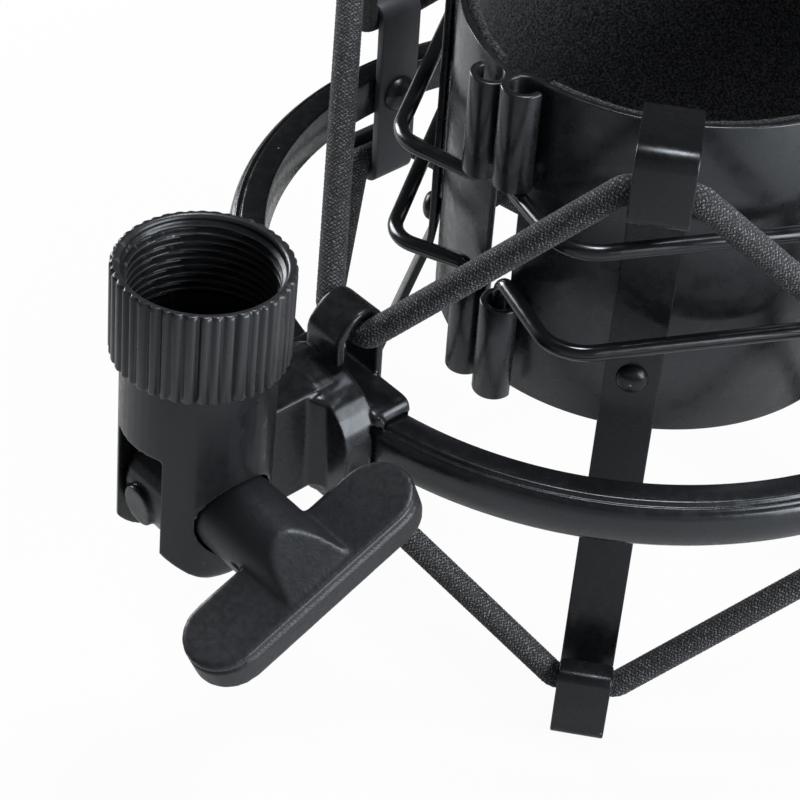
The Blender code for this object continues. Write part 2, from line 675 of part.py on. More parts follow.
def ribbon(route, widths):
    left = []
    right = []
    for i, p in enumerate(route):
        before = route[max(i - 1, 0)]
        after = route[min(i + 1, len(route) - 1)]
        along = (after - before).normalized()
        side = Vector((-along.y, along.x)) * widths[i] / 2
        left.append((p.x + side.x, p.y + side.y))
        right.append((p.x - side.x, p.y - side.y))
    return left + right[::-1]


post_widths = [POST_THICK] * len(post_route)
post = plate_outline("cord_post", ribbon(post_route, post_widths), POST_WIDTH / 2, SIDE_VIEW, cutters)
boolean(bracket, post, "UNION")

channel_profile = [
    (RING_IR - RUN_GAP, RING_TOP + RUN_GAP),
    (RING_OR + RUN_GAP, RING_TOP + RUN_GAP),
    (RING_OR + RUN_GAP, RING_BASE - RUN_GAP),
    (RING_IR - RUN_GAP, RING_BASE - RUN_GAP),
]
channel = turn_profile("ring_channel", channel_profile, None, ring_place, 96, True, cutters)
channel.hide_render = True
channel.display_type = "WIRE"
boolean(bracket, channel)
pivot_place = Matrix.Translation((0, (RING_Y - PIVOT_REACH) * MM, PIVOT_Z * MM))
pivot_hole = rod_cutter("pivot_hole", STUD / 2 + RUN_GAP, -TONGUE_THICK, TONGUE_THICK, pivot_place)
boolean(bracket, pivot_hole)

# Stand adapter: a threaded collar and neck, slotted below into a fork round the tongue
ADAPTER = pivot_place @ Matrix.Rotation(math.radians(-ADAPTER_LEAN), 4, "X")
collar_base = ADAPTER_TOP - COLLAR_LENGTH
bore_floor = ADAPTER_TOP - THREAD_DEPTH
fork_profile = [
    (0, bore_floor),
    (THREAD_BORE / 2, bore_floor),
    (THREAD_BORE / 2, ADAPTER_TOP),
    (COLLAR_R - COLLAR_CHAMFER, ADAPTER_TOP),
    (COLLAR_R, ADAPTER_TOP - COLLAR_CHAMFER),
    (COLLAR_R, collar_base + COLLAR_CHAMFER),
    (COLLAR_R - COLLAR_CHAMFER, collar_base),
    (NECK_R, collar_base),
]
for k in range(5):
    t = math.radians(90 * k / 4)
    fork_profile.append((NECK_R - FORK_ROUND + FORK_ROUND * math.cos(t),
                         FORK_ROUND - ADAPTER_BOTTOM - FORK_ROUND * math.sin(t)))
fork_profile.append((0, -ADAPTER_BOTTOM))
fork = turn_profile("stand_fork", fork_profile, adapter_paint, ADAPTER, 48)
slot = box_cutter("fork_slot", (-SLOT_WIDTH / 2, -NECK_R - 2, -ADAPTER_BOTTOM - 2),
                  (SLOT_WIDTH / 2, NECK_R + 2, SLOT_TOP), ADAPTER)
boolean(fork, slot)
heel = box_cutter("fork_heel", (-NECK_R - 2, -NECK_R - 2, -ADAPTER_BOTTOM - 2), (NECK_R + 2, NECK_R + 2, 0), ADAPTER)
boolean(heel, rod_cutter("heel_round", ADAPTER_BOTTOM, -NECK_R - 3, NECK_R + 3, ADAPTER, 48))
boolean(fork, heel)
boolean(fork, rod_cutter("stud_hole", STUD / 2 + RUN_GAP, -NECK_R - 2, NECK_R + 2, ADAPTER))
boolean(fork, rod_cutter("hub_recess", HUB / 2 + RUN_GAP, HUB_SEAT - RUN_GAP, NECK_R + 2, ADAPTER, 32))
nut_outer = math.sqrt(NECK_R ** 2 - (NUT_FLATS / 2) ** 2) - RUN_GAP
nut_inner = nut_outer - NUT_THICK
nut_pocket = rod_cutter("nut_pocket", NUT_FLATS / math.sqrt(3) + RUN_GAP, -NECK_R - 2, RUN_GAP - nut_outer + NUT_THICK,
                        ADAPTER, 6)
boolean(fork, nut_pocket)
smooth(fork)

# Nut held in the far cheek
nut_mesh = bpy.data.meshes.new("clamp_nut")
bm = bmesh.new()
bmesh.ops.create_cone(bm, cap_ends=True, segments=6, radius1=NUT_FLATS / math.sqrt(3) * MM,
                      radius2=NUT_FLATS / math.sqrt(3) * MM, depth=NUT_THICK * MM)
bmesh.ops.rotate(bm, verts=bm.verts[:], matrix=Matrix.Rotation(math.pi / 2, 3, "Y"))
bmesh.ops.translate(bm, verts=bm.verts[:], vec=(-(nut_outer + nut_inner) / 2 * MM, 0, 0))
bm.to_mesh(nut_mesh)
bm.free()
nut_mesh.materials.append(nut_steel)
nut = add_object("clamp_nut", nut_mesh, ADAPTER)
boolean(nut, bpy.data.objects["stud_hole"])

# Clamp screw moulded into the wing knob
stud_end = -nut_outer
stud_head = WING_START + WING_WIDTH / 2
stud_mesh = bpy.data.meshes.new("clamp_screw")
bm = bmesh.new()
bmesh.ops.create_cone(bm, cap_ends=True, segments=24, radius1=STUD / 2 * MM, radius2=STUD / 2 * MM,
                      depth=(stud_head - stud_end) * MM)
bmesh.ops.rotate(bm, verts=bm.verts[:], matrix=Matrix.Rotation(math.pi / 2, 3, "Y"))
bmesh.ops.translate(bm, verts=bm.verts[:], vec=((stud_head + stud_end) / 2 * MM, 0, 0))
bm.to_mesh(stud_mesh)
bm.free()
stud_mesh.materials.append(stud_steel)
stud = add_object("clamp_screw", stud_mesh, ADAPTER)
smooth(stud)

# Wing knob: a flat paddle with round ends across a round hub
KNOB = pivot_place @ Matrix.Rotation(math.radians(WING_TILT), 4, "X")
wing_end = WING_START + WING_WIDTH
wing_round = WING_WIDTH / 2
wing_outline = []
for cx, start in ((WING_LENGTH / 2 - wing_round, -90), (wing_round - WING_LENGTH / 2, 90)):
    for k in range(11):
        t = math.radians(start + 180 * k / 10)
        wing_outline.append((WING_START + wing_round + wing_round * math.sin(t),
                             cx + wing_round * math.cos(t)))
wing_outline.reverse()
knob = plate_outline("wing_knob", wing_outline, WING_THICK / 2, KNOB)
knob.data.materials.append(knob_plastic)
round_edges(knob, WING_EDGE, 3)
hub_body = rod_cutter("knob_hub", HUB / 2, HUB_SEAT, wing_end - 0.8, KNOB, 32)
facet_start = WING_START + 1.6
for side in (1, -1):
    facet = plate_outline("hub_facet_%d" % (2 + side), [
        (facet_start, side * (HUB / 2 + 0.05)),
        (wing_end + 1, side * (HUB / 2 + 0.05)),
        (wing_end + 1, side * (WING_THICK / 2 - 0.3)),
        (wing_end - 0.8, side * (WING_THICK / 2 - 0.1)),
    ], HUB, KNOB @ Matrix.Rotation(math.pi / 2, 4, "X"), cutters)
    boolean(hub_body, facet)
boolean(knob, hub_body, "UNION")
boolean(knob, rod_cutter("stud_socket", STUD / 2 + SEAT / 2, HUB_SEAT - 1, stud_head + SEAT, KNOB))
smooth(knob)

# Elastic cords: two closed loops that zigzag between the ring's hooks and the strips' hooks
top_cord_r = TOP_TAB_MID - STRIP_SHEET / 2 - CORD_GAP - CORD / 2
top_cord_z = top_lip + STRIP_SHEET / 2 + CORD_GAP + CORD / 2
bottom_cord_r = BOTTOM_TAB_MID - STRIP_SHEET / 2 - CORD_GAP - CORD / 2
bottom_cord_z = bottom_lip - STRIP_SHEET / 2 - CORD_GAP - CORD / 2
plate_rise = PLATE_HALF - PLATE_SHEET - CORD_GAP - CORD / 2
PAST_HOOK = 0.5


def hook_run(angle, radius, z, width, centre=(0.0, 0.0)):
    # The cord lies straight across a hook and a little past its edges
    frame = radial_frame(angle, centre)
    run = []
    for across in (-1, 0, 1):
        side = across * (width / 2 + PAST_HOOK)
        run.append((frame @ Vector((radius * MM, side * MM, z * MM))) / MM)
    return run


def cord_loop(name, strip_r, strip_z, plate_z, post_z):
    route = hook_run(0, POST_CORD, post_z, POST_WIDTH)
    for i, angle in enumerate(STRIP_ANGLES):
        route += hook_run(angle, strip_r, strip_z, STRIP_WIDTH, CRADLE)
        if i < 3:
            route += hook_run(PLATE_ANGLES[i], PLATE_CORD, plate_z, PLATE_WIDTH)
    closed = [route[-1]] + route + [route[0]]
    smooth_route = fillet(closed, 1.6, 3)[1:-1]
    return round_tube(name, smooth_route, CORD, cord_weave, True)


cord_loop("upper_cord", top_cord_r, top_cord_z, RING_MID + plate_rise, RING_MID + POST_CORD_RISE)
cord_loop("lower_cord", bottom_cord_r, bottom_cord_z, RING_MID - plate_rise, RING_MID - POST_CORD_RISE)

bpy.context.view_layer.update()
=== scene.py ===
import math

import bmesh
import bpy
from mathutils import Euler, Matrix, Vector, noise


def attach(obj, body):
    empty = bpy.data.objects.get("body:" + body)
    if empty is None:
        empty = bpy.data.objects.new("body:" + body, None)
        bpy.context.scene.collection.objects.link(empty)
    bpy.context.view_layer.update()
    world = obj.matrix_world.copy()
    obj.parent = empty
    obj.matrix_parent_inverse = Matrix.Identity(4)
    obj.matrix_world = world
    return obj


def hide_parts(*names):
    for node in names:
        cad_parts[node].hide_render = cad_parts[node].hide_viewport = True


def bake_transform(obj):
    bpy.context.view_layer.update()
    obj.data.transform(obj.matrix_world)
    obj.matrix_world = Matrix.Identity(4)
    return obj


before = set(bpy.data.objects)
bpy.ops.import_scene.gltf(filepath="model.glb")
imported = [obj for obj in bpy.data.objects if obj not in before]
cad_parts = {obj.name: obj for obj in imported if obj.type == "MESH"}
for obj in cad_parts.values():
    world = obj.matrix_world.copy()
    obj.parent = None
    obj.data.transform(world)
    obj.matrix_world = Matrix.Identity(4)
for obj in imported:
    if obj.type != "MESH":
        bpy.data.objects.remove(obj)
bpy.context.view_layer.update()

# The outer ring is turned from aluminium and painted black, with a flat top, two fine beads at
# its outer top edge and a full outer face. Every fixed piece is screwed to it or closed round it.
mm = 0.001
ring_centre = Vector((0.0, 14.9, 0.0))
ring_inner = 43.1
ring_steps = 224
ring_outline = [
    (43.45, 41.6), (45.75, 41.6), (45.95, 41.56), (46.05, 41.42), (46.1, 41.22), (46.2, 41.14),
    (46.32, 41.16), (46.42, 41.28), (46.55, 41.33), (46.68, 41.28), (46.76, 41.12), (46.86, 41.02),
    (47.05, 40.95), (47.25, 40.7), (47.42, 40.3), (47.54, 39.75), (47.6, 39.1), (47.6, 38.5),
    (47.52, 37.8), (47.36, 37.2), (47.12, 36.72), (46.9, 36.45), (46.72, 36.2), (46.5, 36.1),
    (43.45, 36.1), (43.22, 36.18), (ring_inner, 36.4), (ring_inner, 41.3), (43.22, 41.52),
]


def black_finish(name, colour, rough, grain, depth, specks=0.0, level=0.16, wear_and_edge_highlight=0.0):
    # Black coating: slow tone drift, fine grain in gloss and height, paler edges that are partly wear and
    # partly painted highlight, and dust specks
    mat = bpy.data.materials.new(name)
    mat.use_nodes = True
    tree = mat.node_tree
    shader = tree.nodes["Principled BSDF"]
    shader.inputs["Specular IOR Level"].default_value = level
    shader.inputs["Specular Tint"].default_value = (0.84, 0.92, 1.0, 1.0)
    place = tree.nodes.new("ShaderNodeTexCoord").outputs["Object"]

    def cloud(scale, detail):
        field = tree.nodes.new("ShaderNodeTexNoise")
        field.inputs["Scale"].default_value = scale
        field.inputs["Detail"].default_value = detail
        tree.links.new(place, field.inputs["Vector"])
        return field.outputs["Fac"]

    def blend_colour(factor, low, high):
        mix = tree.nodes.new("ShaderNodeMix")
        mix.data_type = "RGBA"
        tree.links.new(factor, mix.inputs["Factor"])
        if isinstance(low, bpy.types.NodeSocket):
            tree.links.new(low, mix.inputs["A"])
        else:
            mix.inputs["A"].default_value = (*low, 1.0)
        mix.inputs["B"].default_value = (*high, 1.0)
        return mix.outputs["Result"]

    def ranged(value, low, high, to_low, to_high):
        span = tree.nodes.new("ShaderNodeMapRange")
        span.inputs["From Min"].default_value = low
        span.inputs["From Max"].default_value = high
        span.inputs["To Min"].default_value = to_low
        span.inputs["To Max"].default_value = to_high
        tree.links.new(value, span.inputs["Value"])
        return span.outputs["Result"]

    drift = ranged(cloud(90.0, 3.0), 0.35, 0.65, 0.0, 1.0)
    tone = blend_colour(drift, colour, [c * 1.55 for c in colour])
    gloss = ranged(cloud(grain * 0.5, 3.0), 0.3, 0.7, rough - 0.05, rough + 0.07)
    if wear_and_edge_highlight > 0:
        # Convex edges are lightened by their pointiness: partly edge wear, partly a painted highlight along
        # the edges
        ridge = tree.nodes.new("ShaderNodeNewGeometry").outputs["Pointiness"]
        tone = blend_colour(ranged(ridge, 0.51, 0.58, 0.0, wear_and_edge_highlight), tone, (0.11, 0.112, 0.118))
    if specks > 0:
        dots = tree.nodes.new("ShaderNodeTexVoronoi")
        dots.inputs["Scale"].default_value = 420.0
        tree.links.new(place, dots.inputs["Vector"])
        small = ranged(dots.outputs["Distance"], 0.045, 0.065, 1.0, 0.0)
        pick = tree.nodes.new("ShaderNodeSeparateColor")
        tree.links.new(dots.outputs["Color"], pick.inputs["Color"])
        few = ranged(pick.outputs["Red"], 1.0 - specks, 1.0 - specks + 0.01, 0.0, 1.0)
        both = tree.nodes.new("ShaderNodeMath")
        both.operation = "MULTIPLY"
        tree.links.new(small, both.inputs[0])
        tree.links.new(few, both.inputs[1])
        tone = blend_colour(both.outputs["Value"], tone, (0.34, 0.34, 0.35))
    tree.links.new(tone, shader.inputs["Base Color"])
    tree.links.new(gloss, shader.inputs["Roughness"])
    bump = tree.nodes.new("ShaderNodeBump")
    bump.inputs["Strength"].default_value = 1.0
    bump.inputs["Distance"].default_value = depth * mm
    tree.links.new(cloud(grain, 2.0), bump.inputs["Height"])
    tree.links.new(bump.outputs["Normal"], shader.inputs["Normal"])
    return mat


def make_piece(name, bm, finish, sharp=35.0):
    # Closes the seams, turns the faces outwards and writes the mesh in metres
    bmesh.ops.remove_doubles(bm, verts=bm.verts[:], dist=0.0005)
    bmesh.ops.recalc_face_normals(bm, faces=bm.faces[:])
    bmesh.ops.scale(bm, vec=(mm, mm, mm), verts=bm.verts[:])
    mesh = bpy.data.meshes.new(name)
    bm.to_mesh(mesh)
    bm.free()
    mesh.shade_smooth()
    mesh.set_sharp_from_angle(angle=math.radians(sharp))
    mesh.materials.append(finish)
    piece = bpy.data.objects.new(name, mesh)
    bpy.context.scene.collection.objects.link(piece)
    return piece


def fit(piece, body, slot, *nodes):
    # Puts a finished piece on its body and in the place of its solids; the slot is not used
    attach(piece, body)
    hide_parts(*nodes)


def turned(outline, closed, steps, place):
    # A profile of radius and height, turned right round the Z axis and set in place
    bm = bmesh.new()
    rim = [bm.verts.new((r, 0.0, z)) for r, z in outline]
    after = rim[1:] + rim[:1] if closed else rim[1:]
    for a, b in zip(rim, after):
        bm.edges.new((a, b))
    bmesh.ops.spin(bm, geom=bm.verts[:] + bm.edges[:], cent=(0, 0, 0), axis=(0, 0, 1), angle=math.tau,
                   steps=steps, use_merge=True)
    bmesh.ops.remove_doubles(bm, verts=bm.verts[:], dist=0.0005)
    bmesh.ops.transform(bm, matrix=place, verts=bm.verts[:])
    return bm


ring_paint = black_finish("ring_paint", (0.0055, 0.0059, 0.0069), 0.24, 1400.0, 0.005, specks=0.1, level=0.6)
ring_bm = turned(ring_outline, closed=True, steps=ring_steps, place=Matrix.Translation(ring_centre))
ring = make_piece("turned_ring", ring_bm, ring_paint, 50)
fit(ring, "frame", "ring_paint", "outer_ring")

# Three steel hook plates lie against the ring's inner face, their ends bent out over the ring to
# hold the cords. They are cut from sheet with rounded corners, folded and painted.
plate_angles = (90.0, 180.0, 270.0)
plate_width = 6.2
plate_sheet = 1.2
plate_mid = 42.3
plate_tab_mid = 47.1
ring_mid = 38.85
plate_half = 13.4 - plate_sheet / 2
plate_tab = 5.0 - plate_sheet / 2
plate_bend = 1.5
plate_corner = 0.9


def rounded(points, radii, steps):
    # Rounds the inner corners of an open line, in two or three dimensions
    pts = [Vector(p) for p in points]
    line = [pts[0]]
    for before, corner, after, radius in zip(pts, pts[1:], pts[2:], radii):
        back = (before - corner).normalized()
        ahead = (after - corner).normalized()
        half = back.angle(ahead) / 2
        reach = radius / math.tan(half)
        centre = corner + (back + ahead).normalized() * (radius / math.sin(half))
        start = corner + back * reach - centre
        end = corner + ahead * reach - centre
        sweep = start.angle(end)
        for k in range(steps + 1):
            f = k / steps
            spoke = start * math.sin((1 - f) * sweep) + end * math.sin(f * sweep)
            line.append(centre + spoke / math.sin(sweep))
    return line + [pts[-1]]


def outward(angle, centre):
    # Local X points out from the centre at this angle, counted from the bracket's side
    return Matrix.Translation(centre) @ Matrix.Rotation(math.radians(angle - 90.0), 4, "Z")


def folded_strip(name, line, width, sheet, corner, place, finish):
    # A strip of sheet: the line of its folds swept across its width, then thickened and softened
    bm = bmesh.new()
    row = [bm.verts.new((p[0], -width / 2, p[1])) for p in line]
    for a, b in zip(row, row[1:]):
        bm.edges.new((a, b))
    swept = bmesh.ops.extrude_edge_only(bm, edges=bm.edges[:])["geom"]
    far = [g for g in swept if isinstance(g, bmesh.types.BMVert)]
    bmesh.ops.translate(bm, verts=far, vec=(0, width, 0))
    tips = [v for v in bm.verts if len(v.link_edges) == 2]
    bmesh.ops.bevel(bm, geom=tips, offset=corner, offset_type="OFFSET", segments=5, profile=0.5,
                    affect="VERTICES", material=-1)
    bmesh.ops.transform(bm, matrix=place, verts=bm.verts[:])
    strip = make_piece(name, bm, finish, 40)
    wall = strip.modifiers.new("sheet", "SOLIDIFY")
    wall.thickness = sheet * mm
    wall.offset = 0.0
    wall.use_even_offset = True
    soft = strip.modifiers.new("soft_edges", "BEVEL")
    soft.width = 0.2 * mm
    soft.segments = 3
    soft.limit_method = "ANGLE"
    soft.angle_limit = math.radians(45)
    return strip


plate_paint = black_finish("plate_paint", (0.034, 0.0361, 0.0417), 0.5, 2600.0, 0.01, specks=0.05, level=0.45)
plate_line = rounded([
    (plate_tab_mid, ring_mid + plate_half - plate_tab),
    (plate_tab_mid, ring_mid + plate_half),
    (plate_mid, ring_mid + plate_half),
    (plate_mid, ring_mid - plate_half),
    (plate_tab_mid, ring_mid - plate_half),
    (plate_tab_mid, ring_mid - plate_half + plate_tab),
], [plate_bend] * 4, 6)
for i, angle in enumerate(plate_angles):
    plate = folded_strip("hook_plate_%d" % (i + 1), plate_line, plate_width, plate_sheet, plate_corner,
                         outward(angle, ring_centre), plate_paint)
    fit(plate, "frame", "plate_paint", "ring_hook_plate_%d" % (i + 1))

# Three dome-head screws hold the plates to the ring. Each is one turned steel piece with a low
# dome, a small flat round its foot and a shank that goes through the plate into the ring.
screw_seat = plate_mid - plate_sheet / 2 - 0.1
screw_head = 2.4
screw_rise = 1.5
screw_shank = 1.2
screw_depth = 2.6
screw_end = ring_inner + screw_depth
screw_land = 0.25
along_x = Matrix.Rotation(math.pi / 2, 4, "Y")


def domed(seat, radius, rise):
    # The profile of a low dome on its seat, from its edge to its middle; a negative rise dips
    steps = [math.radians(10.0 * k) for k in range(1, 10)]
    return [(radius * math.cos(t), seat + rise * math.sin(t)) for t in steps]


screw_outline = [
    (0.0, screw_end), (screw_shank, screw_end), (screw_shank, screw_seat), (screw_head, screw_seat),
    (screw_head, screw_seat - screw_land),
]
screw_outline += domed(screw_seat - screw_land, screw_head - 0.12, screw_land - screw_rise)
screw_paint = black_finish("screw_paint", (0.007, 0.0075, 0.0087), 0.28, 1500.0, 0.006,
                           specks=0.05, level=0.45)
for i, angle in enumerate(plate_angles):
    screw_place = outward(angle, ring_centre) @ Matrix.Translation((0, 0, ring_mid)) @ along_x
    screw_bm = turned(screw_outline, closed=False, steps=40, place=screw_place)
    screw = make_piece("dome_screw_%d" % (i + 1), screw_bm, screw_paint, 40)
    fit(screw, "frame", "screw_paint", "plate_screw_%d" % (i + 1))

# The bracket is one zinc casting closed round the ring: a rounded saddle outside, shelves over and
# under the ring, a tongue that the stand adapter clamps and a post with two cord hooks.
flash_spots = ((8.1, -31.3, 42.9, 0.28), (8.3, -31.1, 42.3, 0.34), (8.35, -31.2, 41.7, 0.25),
               (8.4, -31.0, 41.2, 0.3), (8.3, -31.1, 40.4, 0.24), (8.25, -31.2, 39.5, 0.26))
saddle_corner = Vector((0.9, 0.0, 39.05))
saddle_round = 7.3
flare_across = (3.4, 5.2)
flare_along = (-36.8, -34.0)
flare_low = 44.0
flare_sink = 0.15
tip_centre = Vector((-0.45, -55.2, 39.0))
tip_radius = 2.15
tip_length = 2.5


def solid_copy(node):
    # A merged copy of a solid's mesh, in millimetres
    bm = bmesh.new()
    bm.from_mesh(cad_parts[node].data)
    bmesh.ops.scale(bm, vec=(1 / mm, 1 / mm, 1 / mm), verts=bm.verts[:])
    bmesh.ops.remove_doubles(bm, verts=bm.verts[:], dist=0.0005)
    return bm


def moulded(bm, passes, grid=0.2):
    # Rounds every edge and inner corner of a form as a mould does, by an even remesh and smoothing
    blank = bpy.data.meshes.new("blank")
    bm.to_mesh(blank)
    bm.free()
    holder = bpy.data.objects.new("blank", blank)
    bpy.context.scene.collection.objects.link(holder)
    skin = holder.modifiers.new("skin", "REMESH")
    skin.mode = "VOXEL"
    skin.voxel_size = grid
    ease = holder.modifiers.new("ease", "SMOOTH")
    ease.factor = 0.5
    ease.iterations = passes
    cast = bmesh.new()
    cast.from_object(holder, bpy.context.evaluated_depsgraph_get())
    bpy.data.objects.remove(holder)
    bpy.data.meshes.remove(blank)
    return cast


bracket_form = solid_copy("stand_bracket")
for x, y, z, size in flash_spots:
    crumb = bmesh.ops.create_icosphere(bracket_form, subdivisions=1, radius=size)["verts"]
    bmesh.ops.scale(bracket_form, vec=(0.7, 0.9, 1.2), verts=crumb)
    bmesh.ops.translate(bracket_form, vec=(x, y, z), verts=crumb)
for v in bracket_form.verts:
    across = flare_across[0] < abs(v.co.x) < flare_across[1]
    along = flare_along[0] < v.co.y < flare_along[1]
    if across and along and v.co.z > flare_low:
        saddle_top = saddle_corner.z + math.sqrt(saddle_round ** 2 - (abs(v.co.x) - saddle_corner.x) ** 2)
        v.co.z = min(v.co.z, saddle_top - flare_sink)
tip_place = Matrix.Translation(tip_centre) @ Matrix.Rotation(math.pi / 2, 4, "X")
bmesh.ops.create_cone(bracket_form, cap_ends=True, segments=40, radius1=tip_radius, radius2=tip_radius,
                      depth=tip_length, matrix=tip_place)
# The casting's edges are lightened a little: partly wear, partly painted highlight
cast_paint = black_finish("cast_paint", (0.0045, 0.0048, 0.0056), 0.27, 1700.0, 0.008,
                          specks=0.16, level=0.45, wear_and_edge_highlight=0.12)
bracket = make_piece("cast_bracket", moulded(bracket_form, passes=9), cast_paint, 80)
fit(bracket, "frame", "cast_paint", "stand_bracket")

# The sleeve is one sheet of spring steel rolled round the microphone's place and left open towards
# the bracket. Its slit edges are rolled into short curls, above and below, that hold the levers.
cradle_centre = ring_centre + Vector((1.85, 1.35, 0.0))
slit_turn = -3.0
slit_place = outward(slit_turn, cradle_centre)
sleeve_low = 33.2
sleeve_high = 73.4
sleeve_sheet = 0.8
sleeve_mid = 24.6
curl_offset = {1: 3.1, -1: 1.95}
curl_roll = {1: 1.95, -1: 1.8}
lower_curl = 12.5
upper_curl = 12.0
curl_turn = 280.0
curl_steps = 28
sheet_steps = 192
left_droop = 1.3


def sheet_droop(x, y):
    # The sheet's left slit edge hangs lower than the right one, fading out round the sleeve
    if y >= 0:
        return 0.0
    return left_droop * max(0.0, 1.0 - math.atan2(-y, x) / math.radians(80.0)) ** 2


def curl_start(side):
    # The angle from the slit's middle at which the sheet turns into the roll
    return math.asin(curl_offset[side] / (sleeve_mid + curl_roll[side]))


def curl_line(side):
    # One rolled edge in plan, from the sheet's edge to the end of the roll
    normal = Vector((math.cos(curl_start(side)), math.sin(curl_start(side))))
    along = Vector((normal.y, -normal.x))
    roll = curl_roll[side]
    line = []
    for k in range(1, curl_steps + 1):
        turn = math.radians(curl_turn * k / curl_steps)
        p = normal * (sleeve_mid + roll) + roll * (along * math.sin(turn) - normal * math.cos(turn))
        line.append((p.x, p.y * side))
    return line


sheet_line = []
sheet_sweep = math.tau - curl_start(1) - curl_start(-1)
for k in range(sheet_steps + 1):
    turn = curl_start(1) + sheet_sweep * k / sheet_steps
    sheet_line.append((sleeve_mid * math.cos(turn), sleeve_mid * math.sin(turn)))
plan = curl_line(1)[::-1] + sheet_line + curl_line(-1)
sleeve_bm = bmesh.new()
sleeve_foot = [sleeve_bm.verts.new((x, y, sleeve_low)) for x, y in plan]
sleeve_rim = [sleeve_bm.edges.new((a, b)) for a, b in zip(sleeve_foot, sleeve_foot[1:])]
bare_faces = []
for top in (sleeve_low + lower_curl, sleeve_high - upper_curl, sleeve_high):
    raised = bmesh.ops.extrude_edge_only(sleeve_bm, edges=sleeve_rim)["geom"]
    for v in (g for g in raised if isinstance(g, bmesh.types.BMVert)):
        v.co.z = top - (sheet_droop(v.co.x, v.co.y) if top > sleeve_low + lower_curl else 0.0)
    if top == sleeve_high - upper_curl:
        bare_faces = [g for g in raised if isinstance(g, bmesh.types.BMFace)]
    raised_edges = [g for g in raised if isinstance(g, bmesh.types.BMEdge)]
    sleeve_rim = [e for e in raised_edges if min(v.co.z for v in e.verts) > top - 2.0]
between_curls = [f for f in bare_faces if f.calc_center_median().xy.length > sleeve_mid + 0.02]
bmesh.ops.delete(sleeve_bm, geom=between_curls, context="FACES")
bmesh.ops.transform(sleeve_bm, matrix=slit_place, verts=sleeve_bm.verts[:])
sleeve_paint = black_finish("sleeve_paint", (0.0055, 0.0059, 0.0069), 0.27, 1100.0, 0.005,
                            specks=0.05, level=0.65)
sleeve = make_piece("rolled_sleeve", sleeve_bm, sleeve_paint, 40)
sleeve_wall = sleeve.modifiers.new("sheet", "SOLIDIFY")
sleeve_wall.thickness = sleeve_sheet * mm
sleeve_wall.offset = 0.0
sleeve_soft = sleeve.modifiers.new("soft_edges", "BEVEL")
sleeve_soft.width = 0.16 * mm
sleeve_soft.segments = 2
sleeve_soft.limit_method = "ANGLE"
sleeve_soft.angle_limit = math.radians(45)
fit(sleeve, "cradle", "sleeve_paint", "spring_sleeve")

# A band of soft black foam is glued inside the sleeve so that it grips the microphone without
# marking it. It is cut from sheet, its faces are napped, and it stops short of the slit.
foam_out = 24.0
foam_in = 22.6
foam_low = sleeve_low + 0.4
foam_high = sleeve_high - 0.4
foam_end = 9.0
foam_pitch = 0.7
foam_edge = 0.35


def spaced(points, pitch):
    # The same line with points an even pitch apart
    line = [Vector(points[0])]
    for a, b in zip(points, points[1:]):
        a, b = Vector(a), Vector(b)
        count = max(1, round((b - a).length / pitch))
        line += [a.lerp(b, (k + 1) / count) for k in range(count)]
    return line


def foam_finish(name):
    # Black foam: dull, with the pale walls of its fine cells
    mat = black_finish(name, (0.012, 0.0126, 0.0145), 0.95, 3800.0, 0.16, level=0.1)
    tree = mat.node_tree
    shader = tree.nodes["Principled BSDF"]
    shader.inputs["Sheen Weight"].default_value = 0.05
    shader.inputs["Sheen Roughness"].default_value = 0.45
    place = tree.nodes.new("ShaderNodeTexCoord").outputs["Object"]
    cells = tree.nodes.new("ShaderNodeTexNoise")
    cells.inputs["Scale"].default_value = 3400.0
    cells.inputs["Detail"].default_value = 3.0
    tree.links.new(place, cells.inputs["Vector"])
    tone = tree.nodes.new("ShaderNodeValToRGB")
    tone.color_ramp.elements[0].position = 0.42
    tone.color_ramp.elements[0].color = (0.0085, 0.009, 0.0102, 1)
    tone.color_ramp.elements[1].position = 0.72
    tone.color_ramp.elements[1].color = (0.07, 0.0735, 0.081, 1)
    tree.links.new(cells.outputs["Fac"], tone.inputs["Fac"])
    tree.links.new(tone.outputs["Color"], shader.inputs["Base Color"])
    return mat


foam_section = spaced([
    (foam_in + foam_edge, foam_low), (foam_out - foam_edge, foam_low), (foam_out, foam_low + foam_edge),
    (foam_out, foam_high - foam_edge), (foam_out - foam_edge, foam_high), (foam_in + foam_edge, foam_high),
    (foam_in, foam_high - foam_edge), (foam_in, foam_low + foam_edge), (foam_in + foam_edge, foam_low),
], foam_pitch)[:-1]
foam_bm = bmesh.new()
first_end = foam_bm.faces.new([foam_bm.verts.new((p.x, 0.0, p.y)) for p in foam_section])
foam_start = Matrix.Rotation(math.radians(foam_end), 3, "Z")
bmesh.ops.rotate(foam_bm, verts=foam_bm.verts[:], cent=(0, 0, 0), matrix=foam_start)
bmesh.ops.spin(foam_bm, geom=[first_end], cent=(0, 0, 0), axis=(0, 0, 1),
               angle=math.radians(360 - 2 * foam_end), steps=210)
bmesh.ops.recalc_face_normals(foam_bm, faces=foam_bm.faces[:])
foam_bm.normal_update()
for v in foam_bm.verts:
    v.co.z -= sheet_droop(v.co.x, v.co.y) * (v.co.z - foam_low) / (foam_high - foam_low)
    nap = 0.1 * noise.noise(v.co * 1.1) + 0.09 * noise.noise(v.co * 3.3 + Vector((7.0, 3.0, 1.0)))
    v.co += v.normal * (nap - 0.08)
bmesh.ops.transform(foam_bm, matrix=slit_place, verts=foam_bm.verts[:])
foam_grey = foam_finish("foam_grey")
foam = make_piece("foam_band", foam_bm, foam_grey, 80)
fit(foam, "cradle", "foam_grey", "foam_lining")

